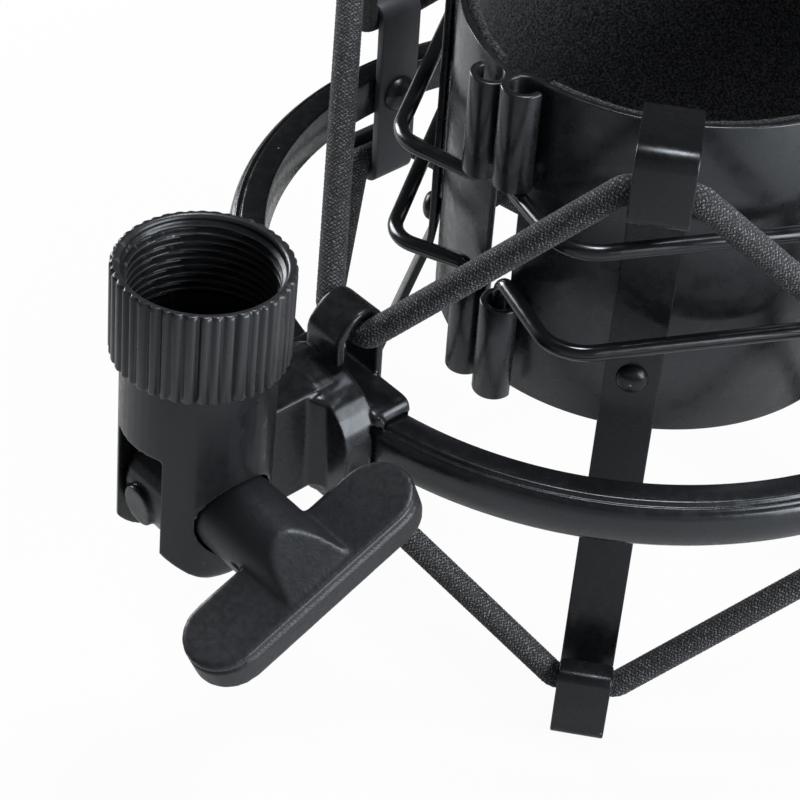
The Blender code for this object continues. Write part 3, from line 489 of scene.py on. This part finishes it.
# Four steel strips carry the sleeve. Each is riveted upright on it, bent out at the top into a
# cord hook and flared out below to a second hook, on which the mount also stands.
strip_width = 6.1
strip_sheet = 0.9
strip_mid = 25.65
strip_first = 38.9
strip_angles = [strip_first + 90.0 * i for i in range(4)]
strip_corner = 0.5
strip_bend = 1.5
lip_bend = 0.9
flare_bend = 12.0
strip_flare = math.radians(17.0)
strip_top = sleeve_high + 5.9
top_slant = 3.1
top_tab = 9.1
bottom_tab = 10.4
bottom_reach = 6.0
top_tab_mid = 38.65
top_fold = strip_top - strip_sheet / 2
top_back = top_fold - top_slant
top_lip = strip_top - top_tab + strip_sheet / 2
flare_start = sleeve_low + 5.0
bottom_fold = strip_sheet / 2
bottom_back = strip_mid + math.tan(strip_flare) * (flare_start - bottom_fold)
bottom_tab_mid = bottom_back + bottom_reach - strip_sheet
bottom_lip = bottom_tab - strip_sheet / 2
lip_reach = 3.1 - strip_sheet / 2
strip_line = rounded([
    (top_tab_mid - lip_reach, top_lip),
    (top_tab_mid, top_lip),
    (top_tab_mid, top_fold),
    (strip_mid, top_back),
    (strip_mid, flare_start),
    (bottom_back, bottom_fold),
    (bottom_tab_mid, bottom_fold),
    (bottom_tab_mid, bottom_lip),
    (bottom_tab_mid - lip_reach, bottom_lip),
], [lip_bend, strip_bend, strip_bend, flare_bend, strip_bend, strip_bend, lip_bend], 7)
strip_paint = black_finish("strip_paint", (0.005, 0.0053, 0.0062), 0.27, 1900.0, 0.006,
                           specks=0.05, level=0.36)
for i, angle in enumerate(strip_angles):
    strip = folded_strip("cord_strip_%d" % (i + 1), strip_line, strip_width, strip_sheet, strip_corner,
                         outward(angle, cradle_centre), strip_paint)
    fit(strip, "cradle", "strip_paint", "hook_strip_%d" % (i + 1))

# One dome rivet holds each strip to the sleeve. Its head is pressed to a low dome outside, and its
# shank passes through strip and sheet.
rivet_seat = strip_mid + strip_sheet / 2 + 0.1
rivet_head = 1.75
rivet_rise = 1.1
rivet_height = sleeve_low + 8.0
rivet_end = sleeve_mid - sleeve_sheet / 2
rivet_shank = 1.0
rivet_land = 0.2
rivet_outline = [
    (0.0, rivet_end), (rivet_shank, rivet_end), (rivet_shank, rivet_seat), (rivet_head, rivet_seat),
    (rivet_head, rivet_seat + rivet_land),
]
rivet_outline += domed(rivet_seat + rivet_land, rivet_head - 0.06, rivet_rise - rivet_land)
rivet_paint = black_finish("rivet_paint", (0.005, 0.0053, 0.0062), 0.28, 1600.0, 0.006,
                           specks=0.05, level=0.38)
for i, angle in enumerate(strip_angles):
    rivet_place = outward(angle, cradle_centre) @ Matrix.Translation((0, 0, rivet_height)) @ along_x
    rivet_bm = turned(rivet_outline, closed=False, steps=36, place=rivet_place)
    rivet = make_piece("dome_rivet_%d" % (i + 1), rivet_bm, rivet_paint, 40)
    fit(rivet, "cradle", "rivet_paint", "strip_rivet_%d" % (i + 1))

# Two levers of black spring wire hook up and down into the curls, one at each slit edge, and run
# round the sleeve. Squeezing them opens the sleeve. Each is bent from one length of round wire.
wire_radius = 0.9
lever_insert = 10.0
lever_end = -2.0
lever_end_bend = 3.2
lever_root_bend = 1.62
sleeve_radius = sleeve_mid + sleeve_sheet / 2
lever_root = {1: Vector((26.2, 2.75)), -1: Vector((26.1, 2.3))}
lever_leg = Vector((math.cos(math.radians(74.0)), math.sin(math.radians(74.0))))
upper_wire = sleeve_high - upper_curl - 1.2


def round_bar(points, radius, place):
    # A round bar that follows a line, with closed ends
    curve = bpy.data.curves.new("bar", "CURVE")
    curve.dimensions = "3D"
    curve.bevel_depth = radius
    curve.bevel_resolution = 7
    curve.use_fill_caps = True
    spline = curve.splines.new("POLY")
    spline.points.add(len(points) - 1)
    for spot, p in zip(spline.points, points):
        spot.co = (*p, 1.0)
    holder = bpy.data.objects.new("bar", curve)
    bpy.context.scene.collection.objects.link(holder)
    drawn = holder.evaluated_get(bpy.context.evaluated_depsgraph_get())
    bm = bmesh.new()
    bm.from_mesh(drawn.to_mesh())
    bpy.data.objects.remove(holder)
    bpy.data.curves.remove(curve)
    bmesh.ops.transform(bm, matrix=place, verts=bm.verts[:])
    return bm


wire_paint = black_finish("wire_paint", (0.0045, 0.0048, 0.0057), 0.2, 900.0, 0.003, level=0.6)
# Side and name, the run's angle and gap to the sleeve, its bend, the lower wire's rise and dip, and
# the upper wire's drop at the curl and lift along the run
levers = (
    (1, "right", 64.8, 1.25, 5.0, 2.4, 0.0, 0.0, 1.1),
    (-1, "left", 52.5, 2.3, 5.0, 1.2, 1.4, left_droop, 0.0),
)
for side, hand, run_angle, clear, bend, rise, dip, drop, run_lift in levers:
    run_normal = Vector((math.cos(math.radians(run_angle)), math.sin(math.radians(run_angle))))
    run_offset = sleeve_radius + clear + wire_radius
    root = lever_root[side]
    corner = root + lever_leg * (run_offset - root.dot(run_normal)) / lever_leg.dot(run_normal)
    end = Vector((lever_end, (run_offset - lever_end * run_normal.x) / run_normal.y))
    lower_wire = sleeve_low + lower_curl + rise
    top_wire = upper_wire - drop
    bent = rounded([
        (root.x, root.y * side, lower_wire - lever_insert),
        (root.x, root.y * side, lower_wire),
        (corner.x, corner.y * side, lower_wire - dip),
        (end.x, end.y * side, lower_wire - dip),
        (end.x, end.y * side, top_wire + run_lift),
        (corner.x, corner.y * side, top_wire + run_lift),
        (root.x, root.y * side, top_wire),
        (root.x, root.y * side, top_wire + lever_insert),
    ], [lever_root_bend, bend, lever_end_bend, lever_end_bend, bend, lever_root_bend], 12)
    lever = make_piece("wire_lever_%s" % hand, round_bar(bent, wire_radius, slit_place), wire_paint, 50)
    fit(lever, "%s_lever" % hand, "wire_paint", "lever_%s" % hand)

# Two loops of braided elastic cord hang the sleeve in the ring. Each zigzags between the four strip
# hooks and the ring's four hooks. A cover of black yarn is braided over a rubber core.
cord_radius = 1.5
cord_sides = 48
cord_step = 0.17
braid_round = 12
braid_row = 0.43
braid_rise = 0.09
post_cord = 44.15
post_width = 5.2
plate_cord = 44.7
past_hook = 0.5
hook_bend = 1.6
cord_gap = 0.3


def hook_run(angle, radius, height, width, centre):
    # The cord lies straight across a hook and a little past its edges
    place = outward(angle, centre)
    return [place @ Vector((radius, side * (width / 2 + past_hook), height)) for side in (-1, 1)]


def loop_line(strip_radius, strip_height, plate_height, post_height):
    # The whole closed route of one cord, from the bracket's hook round and back
    route = hook_run(0.0, post_cord, post_height, post_width, ring_centre)
    for i, angle in enumerate(strip_angles):
        route += hook_run(angle, strip_radius, strip_height, strip_width, cradle_centre)
        if i < 3:
            route += hook_run(plate_angles[i], plate_cord, plate_height, plate_width, ring_centre)
    seam = (route[0] + route[1]) / 2
    route = [seam] + route[1:] + route[:1] + [seam]
    return spaced(rounded(route, [hook_bend] * (len(route) - 2), 8), cord_step)


def braid_height(along, around):
    # Two sets of yarn that cross over and under each other, in yarns along and around the cord
    p = around + along
    q = around - along
    over = (math.floor(p) + math.floor(q)) % 2 == 0
    ridge = p if over else q
    cross = q if over else p
    crown = math.sin(math.pi * (ridge % 1.0))
    return crown ** 0.6 * (0.5 + 0.5 * math.sin(math.pi * (cross % 1.0)))


def braided_loop(line):
    # A grid wrapped round the closed route, raised along the yarns; its UV runs along and around
    points = line[:-1]
    count = len(points)
    lengths = [0.0]
    for a, b in zip(line, line[1:]):
        lengths.append(lengths[-1] + (b - a).length)
    rows = round(lengths[-1] / (2 * braid_row)) * 2
    tangents = [(points[(k + 1) % count] - points[k - 1]).normalized() for k in range(count)]
    normals = [tangents[0].orthogonal().normalized()]
    for k in range(1, count + 1):
        turn = tangents[k - 1].rotation_difference(tangents[k % count])
        normals.append((turn @ normals[-1]).normalized())
    slip = math.atan2(normals[-1].cross(normals[0]).dot(tangents[0]), normals[-1].dot(normals[0]))
    bm = bmesh.new()
    uv = bm.loops.layers.uv.new("braid")
    bmesh.ops.create_grid(bm, x_segments=count, y_segments=cord_sides, size=0.5)
    for face in bm.faces:
        for loop in face.loops:
            f = lengths[round((loop.vert.co.x + 0.5) * count)] / lengths[-1]
            loop[uv].uv = (f * rows, (loop.vert.co.y + 0.5) * braid_round)
    for v in bm.verts:
        k = round((v.co.x + 0.5) * count)
        around = v.co.y + 0.5
        f = lengths[k] / lengths[-1]
        k %= count
        across = Matrix.Rotation(slip * f, 3, tangents[k]) @ normals[k]
        spoke = Matrix.Rotation(math.tau * around, 3, tangents[k]) @ across
        yarn = braid_height(f * rows, around * braid_round)
        v.co = points[k] + spoke * (cord_radius - braid_rise + braid_rise * yarn)
    return bm


def braid_finish(name):
    # Black yarn: each crossing shows one yarn's three ends; raised yarn is paler, partly fibre tips and
    # partly painted highlight, and the gaps are darker as painted shade
    mat = bpy.data.materials.new(name)
    mat.use_nodes = True
    tree = mat.node_tree
    shader = tree.nodes["Principled BSDF"]
    shader.inputs["Roughness"].default_value = 0.75
    shader.inputs["Specular IOR Level"].default_value = 0.2
    shader.inputs["Sheen Weight"].default_value = 0.06
    shader.inputs["Sheen Roughness"].default_value = 0.4

    def math_node(operation, a, b=None):
        node = tree.nodes.new("ShaderNodeMath")
        node.operation = operation
        for socket, value in zip(node.inputs, (a, b)):
            if isinstance(value, bpy.types.NodeSocket):
                tree.links.new(value, socket)
            elif value is not None:
                socket.default_value = value
        return node.outputs["Value"]

    coords = tree.nodes.new("ShaderNodeTexCoord")
    split = tree.nodes.new("ShaderNodeSeparateXYZ")
    tree.links.new(coords.outputs["UV"], split.inputs["Vector"])
    p = math_node("ADD", split.outputs["Y"], split.outputs["X"])
    q = math_node("SUBTRACT", split.outputs["Y"], split.outputs["X"])
    crossing = math_node("ADD", math_node("FLOOR", p), math_node("FLOOR", q))
    under = math_node("PINGPONG", crossing, 1.0)

    def chosen(a, b):
        both = tree.nodes.new("ShaderNodeMix")
        tree.links.new(under, both.inputs["Factor"])
        tree.links.new(a, both.inputs["A"])
        tree.links.new(b, both.inputs["B"])
        return both.outputs["Result"]

    ends = math_node("PINGPONG", math_node("MULTIPLY", chosen(p, q), 3.0), 0.5)
    arch = math_node("PINGPONG", chosen(q, p), 0.5)
    fibre = tree.nodes.new("ShaderNodeTexNoise")
    fibre.inputs["Scale"].default_value = 4200.0
    fibre.inputs["Detail"].default_value = 2.0
    tree.links.new(coords.outputs["Object"], fibre.inputs["Vector"])
    height = math_node("MULTIPLY", math_node("MULTIPLY", ends, arch), 4.0)
    fluff = math_node("POWER", math_node("MULTIPLY", fibre.outputs["Fac"], 1.9), 2.0)
    # The colour follows the yarn's height: painted highlight on the crowns and painted shade in the gaps,
    # broken by fibre noise
    yarn_height_and_painted_light = math_node("MULTIPLY", height, math_node("MULTIPLY", fluff, 0.5))
    ramp = tree.nodes.new("ShaderNodeValToRGB")
    ramp.color_ramp.elements[0].position = 0.1
    ramp.color_ramp.elements[0].color = (0.012, 0.0127, 0.0144, 1)
    ramp.color_ramp.elements[1].position = 0.55
    ramp.color_ramp.elements[1].color = (0.42, 0.437, 0.47, 1)
    middle = ramp.color_ramp.elements.new(0.34)
    middle.color = (0.115, 0.121, 0.134, 1)
    tree.links.new(yarn_height_and_painted_light, ramp.inputs["Fac"])
    tree.links.new(ramp.outputs["Color"], shader.inputs["Base Color"])
    bump = tree.nodes.new("ShaderNodeBump")
    bump.inputs["Distance"].default_value = 0.05 * mm
    tree.links.new(yarn_height_and_painted_light, bump.inputs["Height"])
    tree.links.new(bump.outputs["Normal"], shader.inputs["Normal"])
    return mat


cord_weave = braid_finish("cord_weave")
strip_cord = strip_sheet / 2 + cord_gap + cord_radius
plate_rise = 10.4
post_rise = 11.0
cords = (
    ("upper", top_tab_mid - strip_cord, top_lip + strip_cord, 1),
    ("lower", bottom_tab_mid - strip_cord, bottom_lip - strip_cord, -1),
)
for level, strip_radius, strip_height, up in cords:
    ring_height = ring_mid + up * plate_rise
    cord_line = loop_line(strip_radius, strip_height, ring_height, ring_mid + up * post_rise)
    cord = make_piece("braided_cord_%s" % level, braided_loop(cord_line), cord_weave, 180)
    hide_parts("%s_cord" % level)
    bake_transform(cord)

# The stand adapter is one die-cast and machined piece: a ribbed collar with the stand's thread cut
# inside it, and a neck slotted below into a fork round the bracket's tongue.
pivot = ring_centre + Vector((0.0, -64.3, 39.5))
adapter_tilt = math.radians(-3.2)
adapter_place = Matrix.Translation(pivot) @ Matrix.Rotation(adapter_tilt, 4, "X")
collar_low = 16.45
collar_high = 26.8
rib_count = 44
rib_points = 8
rib_depth = 0.42
thread_major = 7.94
thread_minor = 7.4
thread_pitch = 0.941
thread_low = 17.7
thread_rows = 96
thread_top = collar_high - 0.35
bore_plain = 7.45
bore_floor = 14.35
neck_cut = 16.7
neck_radius = 7.9


def ribbed_ring(verts, radius, height, ribs):
    # Sets one ring of the collar to its radius and height, with the ribs cut in to this share
    for v in verts:
        turn = math.atan2(v.co.y, v.co.x)
        number = turn * rib_count / math.tau
        uneven = 0.78 + 0.22 * math.sin(2.1 * round(number))
        shifted = number + 0.1 * math.sin(1.7 * round(number))
        groove = (0.5 + 0.5 * math.cos(math.tau * shifted)) ** 1.8
        r = radius - rib_depth * uneven * groove * ribs
        v.co = (r * math.cos(turn), r * math.sin(turn), height)


def threaded_ring(verts, height, share):
    # Sets one ring of the bore on the thread's helix, fading out at its ends
    for v in verts:
        turn = math.atan2(v.co.y, v.co.x)
        phase = (height / thread_pitch - turn / math.tau) % 1.0
        tooth = min(1.0, max(0.0, 1.35 * abs(2 * phase - 1) - 0.15))
        r = thread_major - (thread_major - thread_minor) * tooth * share
        v.co = (r * math.cos(turn), r * math.sin(turn), height)


collar_bm = bmesh.new()
bmesh.ops.create_circle(collar_bm, cap_ends=False, segments=rib_count * rib_points, radius=7.7)
bmesh.ops.translate(collar_bm, verts=collar_bm.verts[:], vec=(0, 0, collar_low))
collar_rim = collar_bm.edges[:]


def next_ring():
    # Extrudes the collar's open rim once and gives back the new ring's vertices
    grown = bmesh.ops.extrude_edge_only(collar_bm, edges=collar_rim)["geom"]
    verts = [g for g in grown if isinstance(g, bmesh.types.BMVert)]
    fresh = set(verts)
    edges = [g for g in grown if isinstance(g, bmesh.types.BMEdge)]
    collar_rim[:] = [e for e in edges if all(v in fresh for v in e.verts)]
    return verts


collar_rings = (
    (8.35, collar_low, 0.0), (8.7, collar_low + 0.02, 0.6), (8.93, collar_low + 0.14, 1.0),
    (9.0, collar_low + 0.34, 1.0), (9.0, collar_high - 0.42, 1.0), (8.94, collar_high - 0.2, 1.0),
    (8.82, collar_high - 0.07, 0.8), (8.68, collar_high, 0.35), (8.4, collar_high, 0.0),
    (8.16, collar_high - 0.02, 0.0), (8.02, collar_high - 0.2, 0.0),
)
for radius, height, ribs in collar_rings:
    ribbed_ring(next_ring(), radius, height, ribs)
for k in range(thread_rows + 1):
    height = thread_top - (thread_top - thread_low) * k / thread_rows
    threaded_ring(next_ring(), height, min(1.0, k / 12))
for height in (thread_low - 0.1, bore_floor):
    ribbed_ring(next_ring(), bore_plain, height, 0.0)
bmesh.ops.contextual_create(collar_bm, geom=collar_rim)
neck_bm = solid_copy("stand_fork")
bmesh.ops.transform(neck_bm, matrix=adapter_place.inverted(), verts=neck_bm.verts[:])
neck_all = neck_bm.verts[:] + neck_bm.edges[:] + neck_bm.faces[:]
bmesh.ops.bisect_plane(neck_bm, geom=neck_all, dist=0.0005, plane_co=(0, 0, neck_cut), plane_no=(0, 0, 1),
                       clear_outer=True)
neck_rim = [e for e in neck_bm.edges if e.is_boundary]
neck_raised = bmesh.ops.extrude_edge_only(neck_bm, edges=neck_rim)["geom"]
neck_top = [g for g in neck_raised if isinstance(g, bmesh.types.BMVert)]
bmesh.ops.translate(neck_bm, verts=neck_top, vec=(0, 0, 0.5))
bmesh.ops.bridge_loops(neck_bm, edges=[e for e in neck_bm.edges if e.is_boundary])
neck_skin = moulded(neck_bm, passes=3)
neck_mesh = bpy.data.meshes.new("neck")
neck_skin.to_mesh(neck_mesh)
neck_skin.free()
collar_bm.from_mesh(neck_mesh)
bpy.data.meshes.remove(neck_mesh)
bmesh.ops.transform(collar_bm, matrix=adapter_place, verts=collar_bm.verts[:])
# The collar's rib edges are lightened: partly wear, partly painted highlight
adapter_paint = black_finish("adapter_paint", (0.0055, 0.0059, 0.0069), 0.31, 1800.0, 0.008,
                             specks=0.08, level=0.44, wear_and_edge_highlight=0.3)
adapter = make_piece("threaded_adapter", collar_bm, adapter_paint, 50)
fit(adapter, "stand_adapter", "adapter_paint", "stand_fork")

# A steel hexagon nut is held against turning in a pocket of the fork's far cheek. It is cut from
# bar with its corners chamfered, and the clamp screw goes through it.
nut_half = 4.0
nut_sink = 0.25
nut_outer = math.sqrt(neck_radius ** 2 - nut_half ** 2) - nut_sink
nut_bm = solid_copy("clamp_nut")
nut_corners = [e for e in nut_bm.edges if e.is_manifold and e.calc_face_angle() > math.radians(25)]
bmesh.ops.bevel(nut_bm, geom=nut_corners, offset=0.25, offset_type="OFFSET", segments=2, profile=0.5,
                affect="EDGES", material=-1)


def steel_finish(name, colour, rough):
    # Plated steel: bare metal with a slow change of tone and a fine grain
    mat = black_finish(name, colour, rough, 2400.0, 0.004)
    mat.node_tree.nodes["Principled BSDF"].inputs["Metallic"].default_value = 1.0
    return mat


nut_steel = steel_finish("nut_steel", (0.3, 0.3, 0.31), 0.35)
nut = make_piece("pocket_nut", nut_bm, nut_steel, 30)
fit(nut, "stand_adapter", "nut_steel", "clamp_nut")

# The clamp screw is a length of plated M5 stud moulded into the knob. It passes through the fork
# and the tongue into the nut and draws the fork's cheeks together.
stud_radius = 2.5
stud_from = -nut_outer
wing_standoff = 5.7
wing_width = 8.3
stud_to = neck_radius + wing_standoff + wing_width / 2
stud_chamfer = 0.5
stud_pitch = 0.8
stud_turns = 18
stud_groove = 0.35
stud_thread = stud_from + 0.6
stud_outline = [
    (0.0, stud_from), (stud_radius - stud_chamfer, stud_from), (stud_radius, stud_from + stud_chamfer),
]
for k in range(stud_turns):
    crest = stud_thread + stud_pitch * k
    stud_outline += [(stud_radius, crest), (stud_radius - stud_groove, crest + stud_pitch / 2)]
stud_outline += [(stud_radius, stud_thread + stud_pitch * stud_turns), (stud_radius, stud_to), (0.0, stud_to)]
knob_tilt = math.radians(28.0)
knob_place = Matrix.Translation(pivot) @ Matrix.Rotation(knob_tilt, 4, "X")
stud_steel = steel_finish("stud_steel", (0.3, 0.3, 0.31), 0.32)
stud_bm = turned(stud_outline, closed=False, steps=40, place=knob_place @ along_x)
stud = make_piece("knob_stud", stud_bm, stud_steel, 30)
fit(stud, "knob", "stud_steel", "clamp_screw")

# The wing knob is moulded in black plastic with a fine matt texture: a paddle across a round hub,
# with sloping faces where they meet, the mould's parting line and a rough scar along its edge.
knob_turn = math.radians(-8.0)
paddle_start = 12.0
parting_height = 1.1
parting_width = 0.3
parting_depth = 0.45
scar_height = -0.4
scar_width = 0.5
scar_length = 7.0
scar_rise = 0.25


def fading(distance, reach):
    # One at no distance, falling evenly to nothing at this reach
    return max(0.0, 1.0 - abs(distance) / reach)


knob_form = moulded(solid_copy("wing_knob"), passes=20)
bmesh.ops.transform(knob_form, matrix=knob_place.inverted(), verts=knob_form.verts[:])
knob_form.normal_update()
for v in knob_form.verts:
    if abs(v.normal.z) < 0.6 and v.co.x > paddle_start:
        dip = fading(v.co.z - parting_height, parting_width)
        scar = max(0.0, noise.noise(v.co * 1.6)) * fading(v.co.y, scar_length) * max(0.0, v.normal.x)
        scar *= fading(v.co.z - scar_height, scar_width)
        v.co += v.normal * (scar_rise * scar - parting_depth * dip)
turned_place = knob_place @ Matrix.Rotation(knob_turn, 4, "X")
bmesh.ops.transform(knob_form, matrix=turned_place, verts=knob_form.verts[:])
# The knob's edges are lightened: partly wear, partly painted highlight
knob_plastic = black_finish("knob_plastic", (0.0095, 0.0101, 0.0117), 0.38, 3000.0, 0.018,
                            specks=0.06, level=0.38, wear_and_edge_highlight=0.2)
knob = make_piece("wing_paddle", knob_form, knob_plastic, 80)
fit(knob, "knob", "knob_plastic", "wing_knob")

# The floor is a plain white disc that fades into the white all round and keeps the mount's soft,
# faint shadow. Reflections see it as a grey floor, so that black paint stays black.
floor_radius = 0.4
floor_gap = 0.0004
floor_bm = bmesh.new()
bmesh.ops.create_circle(floor_bm, cap_ends=True, radius=floor_radius, segments=96)
bmesh.ops.translate(floor_bm, verts=floor_bm.verts[:], vec=(0, 0, -floor_gap))
floor_mesh = bpy.data.meshes.new("floor")
floor_bm.to_mesh(floor_mesh)
floor_bm.free()
floor = bpy.data.objects.new("floor", floor_mesh)
bpy.context.scene.collection.objects.link(floor)


def seen_rays(tree, camera_share, mirror_share):
    # The share of plain white that rays see: from the camera, and in reflections or through glass
    path = tree.nodes.new("ShaderNodeLightPath")
    total = None
    for kind, share in (("Is Camera Ray", camera_share), ("Is Glossy Ray", mirror_share),
                        ("Is Transmission Ray", mirror_share)):
        part = tree.nodes.new("ShaderNodeMath")
        part.operation = "MULTIPLY"
        tree.links.new(path.outputs[kind], part.inputs[0])
        if isinstance(share, float):
            part.inputs[1].default_value = share
        else:
            tree.links.new(share, part.inputs[1])
        if total is not None:
            most = tree.nodes.new("ShaderNodeMath")
            most.operation = "MAXIMUM"
            tree.links.new(total, most.inputs[0])
            tree.links.new(part.outputs["Value"], most.inputs[1])
            part = most
        total = part.outputs["Value"]
    return total


def either_shader(tree, share, plain, white, output):
    # Shows the plain shader, or the white one for this share of the rays
    both = tree.nodes.new("ShaderNodeMixShader")
    tree.links.new(share, both.inputs["Fac"])
    tree.links.new(plain, both.inputs[1])
    tree.links.new(white, both.inputs[2])
    tree.links.new(both.outputs["Shader"], tree.nodes[output].inputs["Surface"])


floor_white = bpy.data.materials.new("floor_white")
floor_white.use_nodes = True
floor_tree = floor_white.node_tree
floor_shader = floor_tree.nodes["Principled BSDF"]
floor_shader.inputs["Base Color"].default_value = (0.52, 0.52, 0.52, 1)
floor_shader.inputs["Roughness"].default_value = 0.9
floor_shader.inputs["Specular IOR Level"].default_value = 0.0
floor_glow = floor_tree.nodes.new("ShaderNodeEmission")
floor_place = floor_tree.nodes.new("ShaderNodeTexCoord")
floor_reach = floor_tree.nodes.new("ShaderNodeVectorMath")
floor_reach.operation = "LENGTH"
floor_tree.links.new(floor_place.outputs["Object"], floor_reach.inputs[0])
floor_fade = floor_tree.nodes.new("ShaderNodeMapRange")
floor_fade.inputs["From Min"].default_value = 0.1
floor_fade.inputs["From Max"].default_value = 0.38
floor_fade.inputs["To Min"].default_value = 0.95
floor_tree.links.new(floor_reach.outputs["Value"], floor_fade.inputs["Value"])
floor_share = seen_rays(floor_tree, floor_fade.outputs["Result"], 0.1)
either_shader(floor_tree, floor_share, floor_shader.outputs["BSDF"], floor_glow.outputs["Emission"],
              "Material Output")
floor_mesh.materials.append(floor_white)

# The world is white to the camera and an even grey light on the mount. Its reflections see a soft
# slope of greys, from dark above to pale below and to the camera's side.
sky_towards = (0.5, -0.5, -0.7)
sky_steps = (0.1, 0.5, 0.8)
sky_greys = (0.03, 0.09, 0.4)
world = bpy.data.worlds.new("studio")
bpy.context.scene.world = world
world.use_nodes = True
world_tree = world.node_tree
world_light = world_tree.nodes["Background"]
world_light.inputs["Color"].default_value = (0.13, 0.13, 0.134, 1)
world_seen = world_tree.nodes.new("ShaderNodeBackground")
world_share = seen_rays(world_tree, 1.0, 1.0)
either_shader(world_tree, world_share, world_light.outputs["Background"], world_seen.outputs["Background"],
              "World Output")
sky_place = world_tree.nodes.new("ShaderNodeTexCoord")
sky_slope = world_tree.nodes.new("ShaderNodeVectorMath")
sky_slope.operation = "DOT_PRODUCT"
sky_slope.inputs[1].default_value = sky_towards
world_tree.links.new(sky_place.outputs["Generated"], sky_slope.inputs[0])
sky_share = world_tree.nodes.new("ShaderNodeMapRange")
sky_share.inputs["From Min"].default_value = -1.0
world_tree.links.new(sky_slope.outputs["Value"], sky_share.inputs["Value"])
sky_ramp = world_tree.nodes.new("ShaderNodeValToRGB")
sky_stops = sky_ramp.color_ramp.elements
sky_stops[0].position = sky_steps[0]
sky_stops[1].position = sky_steps[2]
sky_stops.new(sky_steps[1])
for stop, grey in zip(sky_stops, sky_greys):
    stop.color = (grey, grey, grey, 1)
world_tree.links.new(sky_share.outputs["Result"], sky_ramp.inputs["Fac"])
sky_seen = world_tree.nodes.new("ShaderNodeMix")
sky_seen.data_type = "RGBA"
sky_seen.inputs["B"].default_value = (1, 1, 1, 1)
sky_path = world_tree.nodes.new("ShaderNodeLightPath")
world_tree.links.new(sky_path.outputs["Is Camera Ray"], sky_seen.inputs["Factor"])
world_tree.links.new(sky_ramp.outputs["Color"], sky_seen.inputs["A"])
world_tree.links.new(sky_seen.outputs["Result"], world_seen.inputs["Color"])


# Three soft boxes light the mount: a large one at the right, a small one at the left and one above
def soft_lamp(name, spot, aim, width, height, power):
    # A soft box at a spot, turned to face what it lights
    data = bpy.data.lights.new(name, "AREA")
    data.shape = "RECTANGLE"
    data.size = width
    data.size_y = height
    data.energy = power
    lamp = bpy.data.objects.new(name, data)
    bpy.context.scene.collection.objects.link(lamp)
    lamp.location = spot
    lamp.rotation_euler = (Vector(aim) - Vector(spot)).to_track_quat("-Z", "Y").to_euler()


soft_lamp("right_box", (0.40, 0.14, 0.19), (0.0, 0.0, 0.04), 0.4, 0.28, 3.4)
soft_lamp("left_box", (-0.3, -0.06, 0.12), (-0.04, -0.09, 0.0), 0.14, 0.14, 0.9)
soft_lamp("top_box", (-0.01, 0.07, 0.49), (0, 0, 0.05), 0.12, 0.12, 1.6)

# The camera stands where the photograph was taken from, as solved from the ring and the sleeve
camera_spot = Vector((131.225, -146.69, 192.811)) * mm
camera_turn = Euler([math.radians(angle) for angle in (48.867, -2.953, 48.821)])
camera_data = bpy.data.cameras.new("photo_view")
camera_data.lens = 97.842
camera_data.sensor_width = 36.0
camera_data.clip_start = 0.01
camera = bpy.data.objects.new("photo_view", camera_data)
bpy.context.scene.collection.objects.link(camera)
camera.matrix_world = Matrix.LocRotScale(camera_spot, camera_turn, None)
bpy.context.scene.camera = camera
bpy.context.scene.view_settings.view_transform = "Standard"
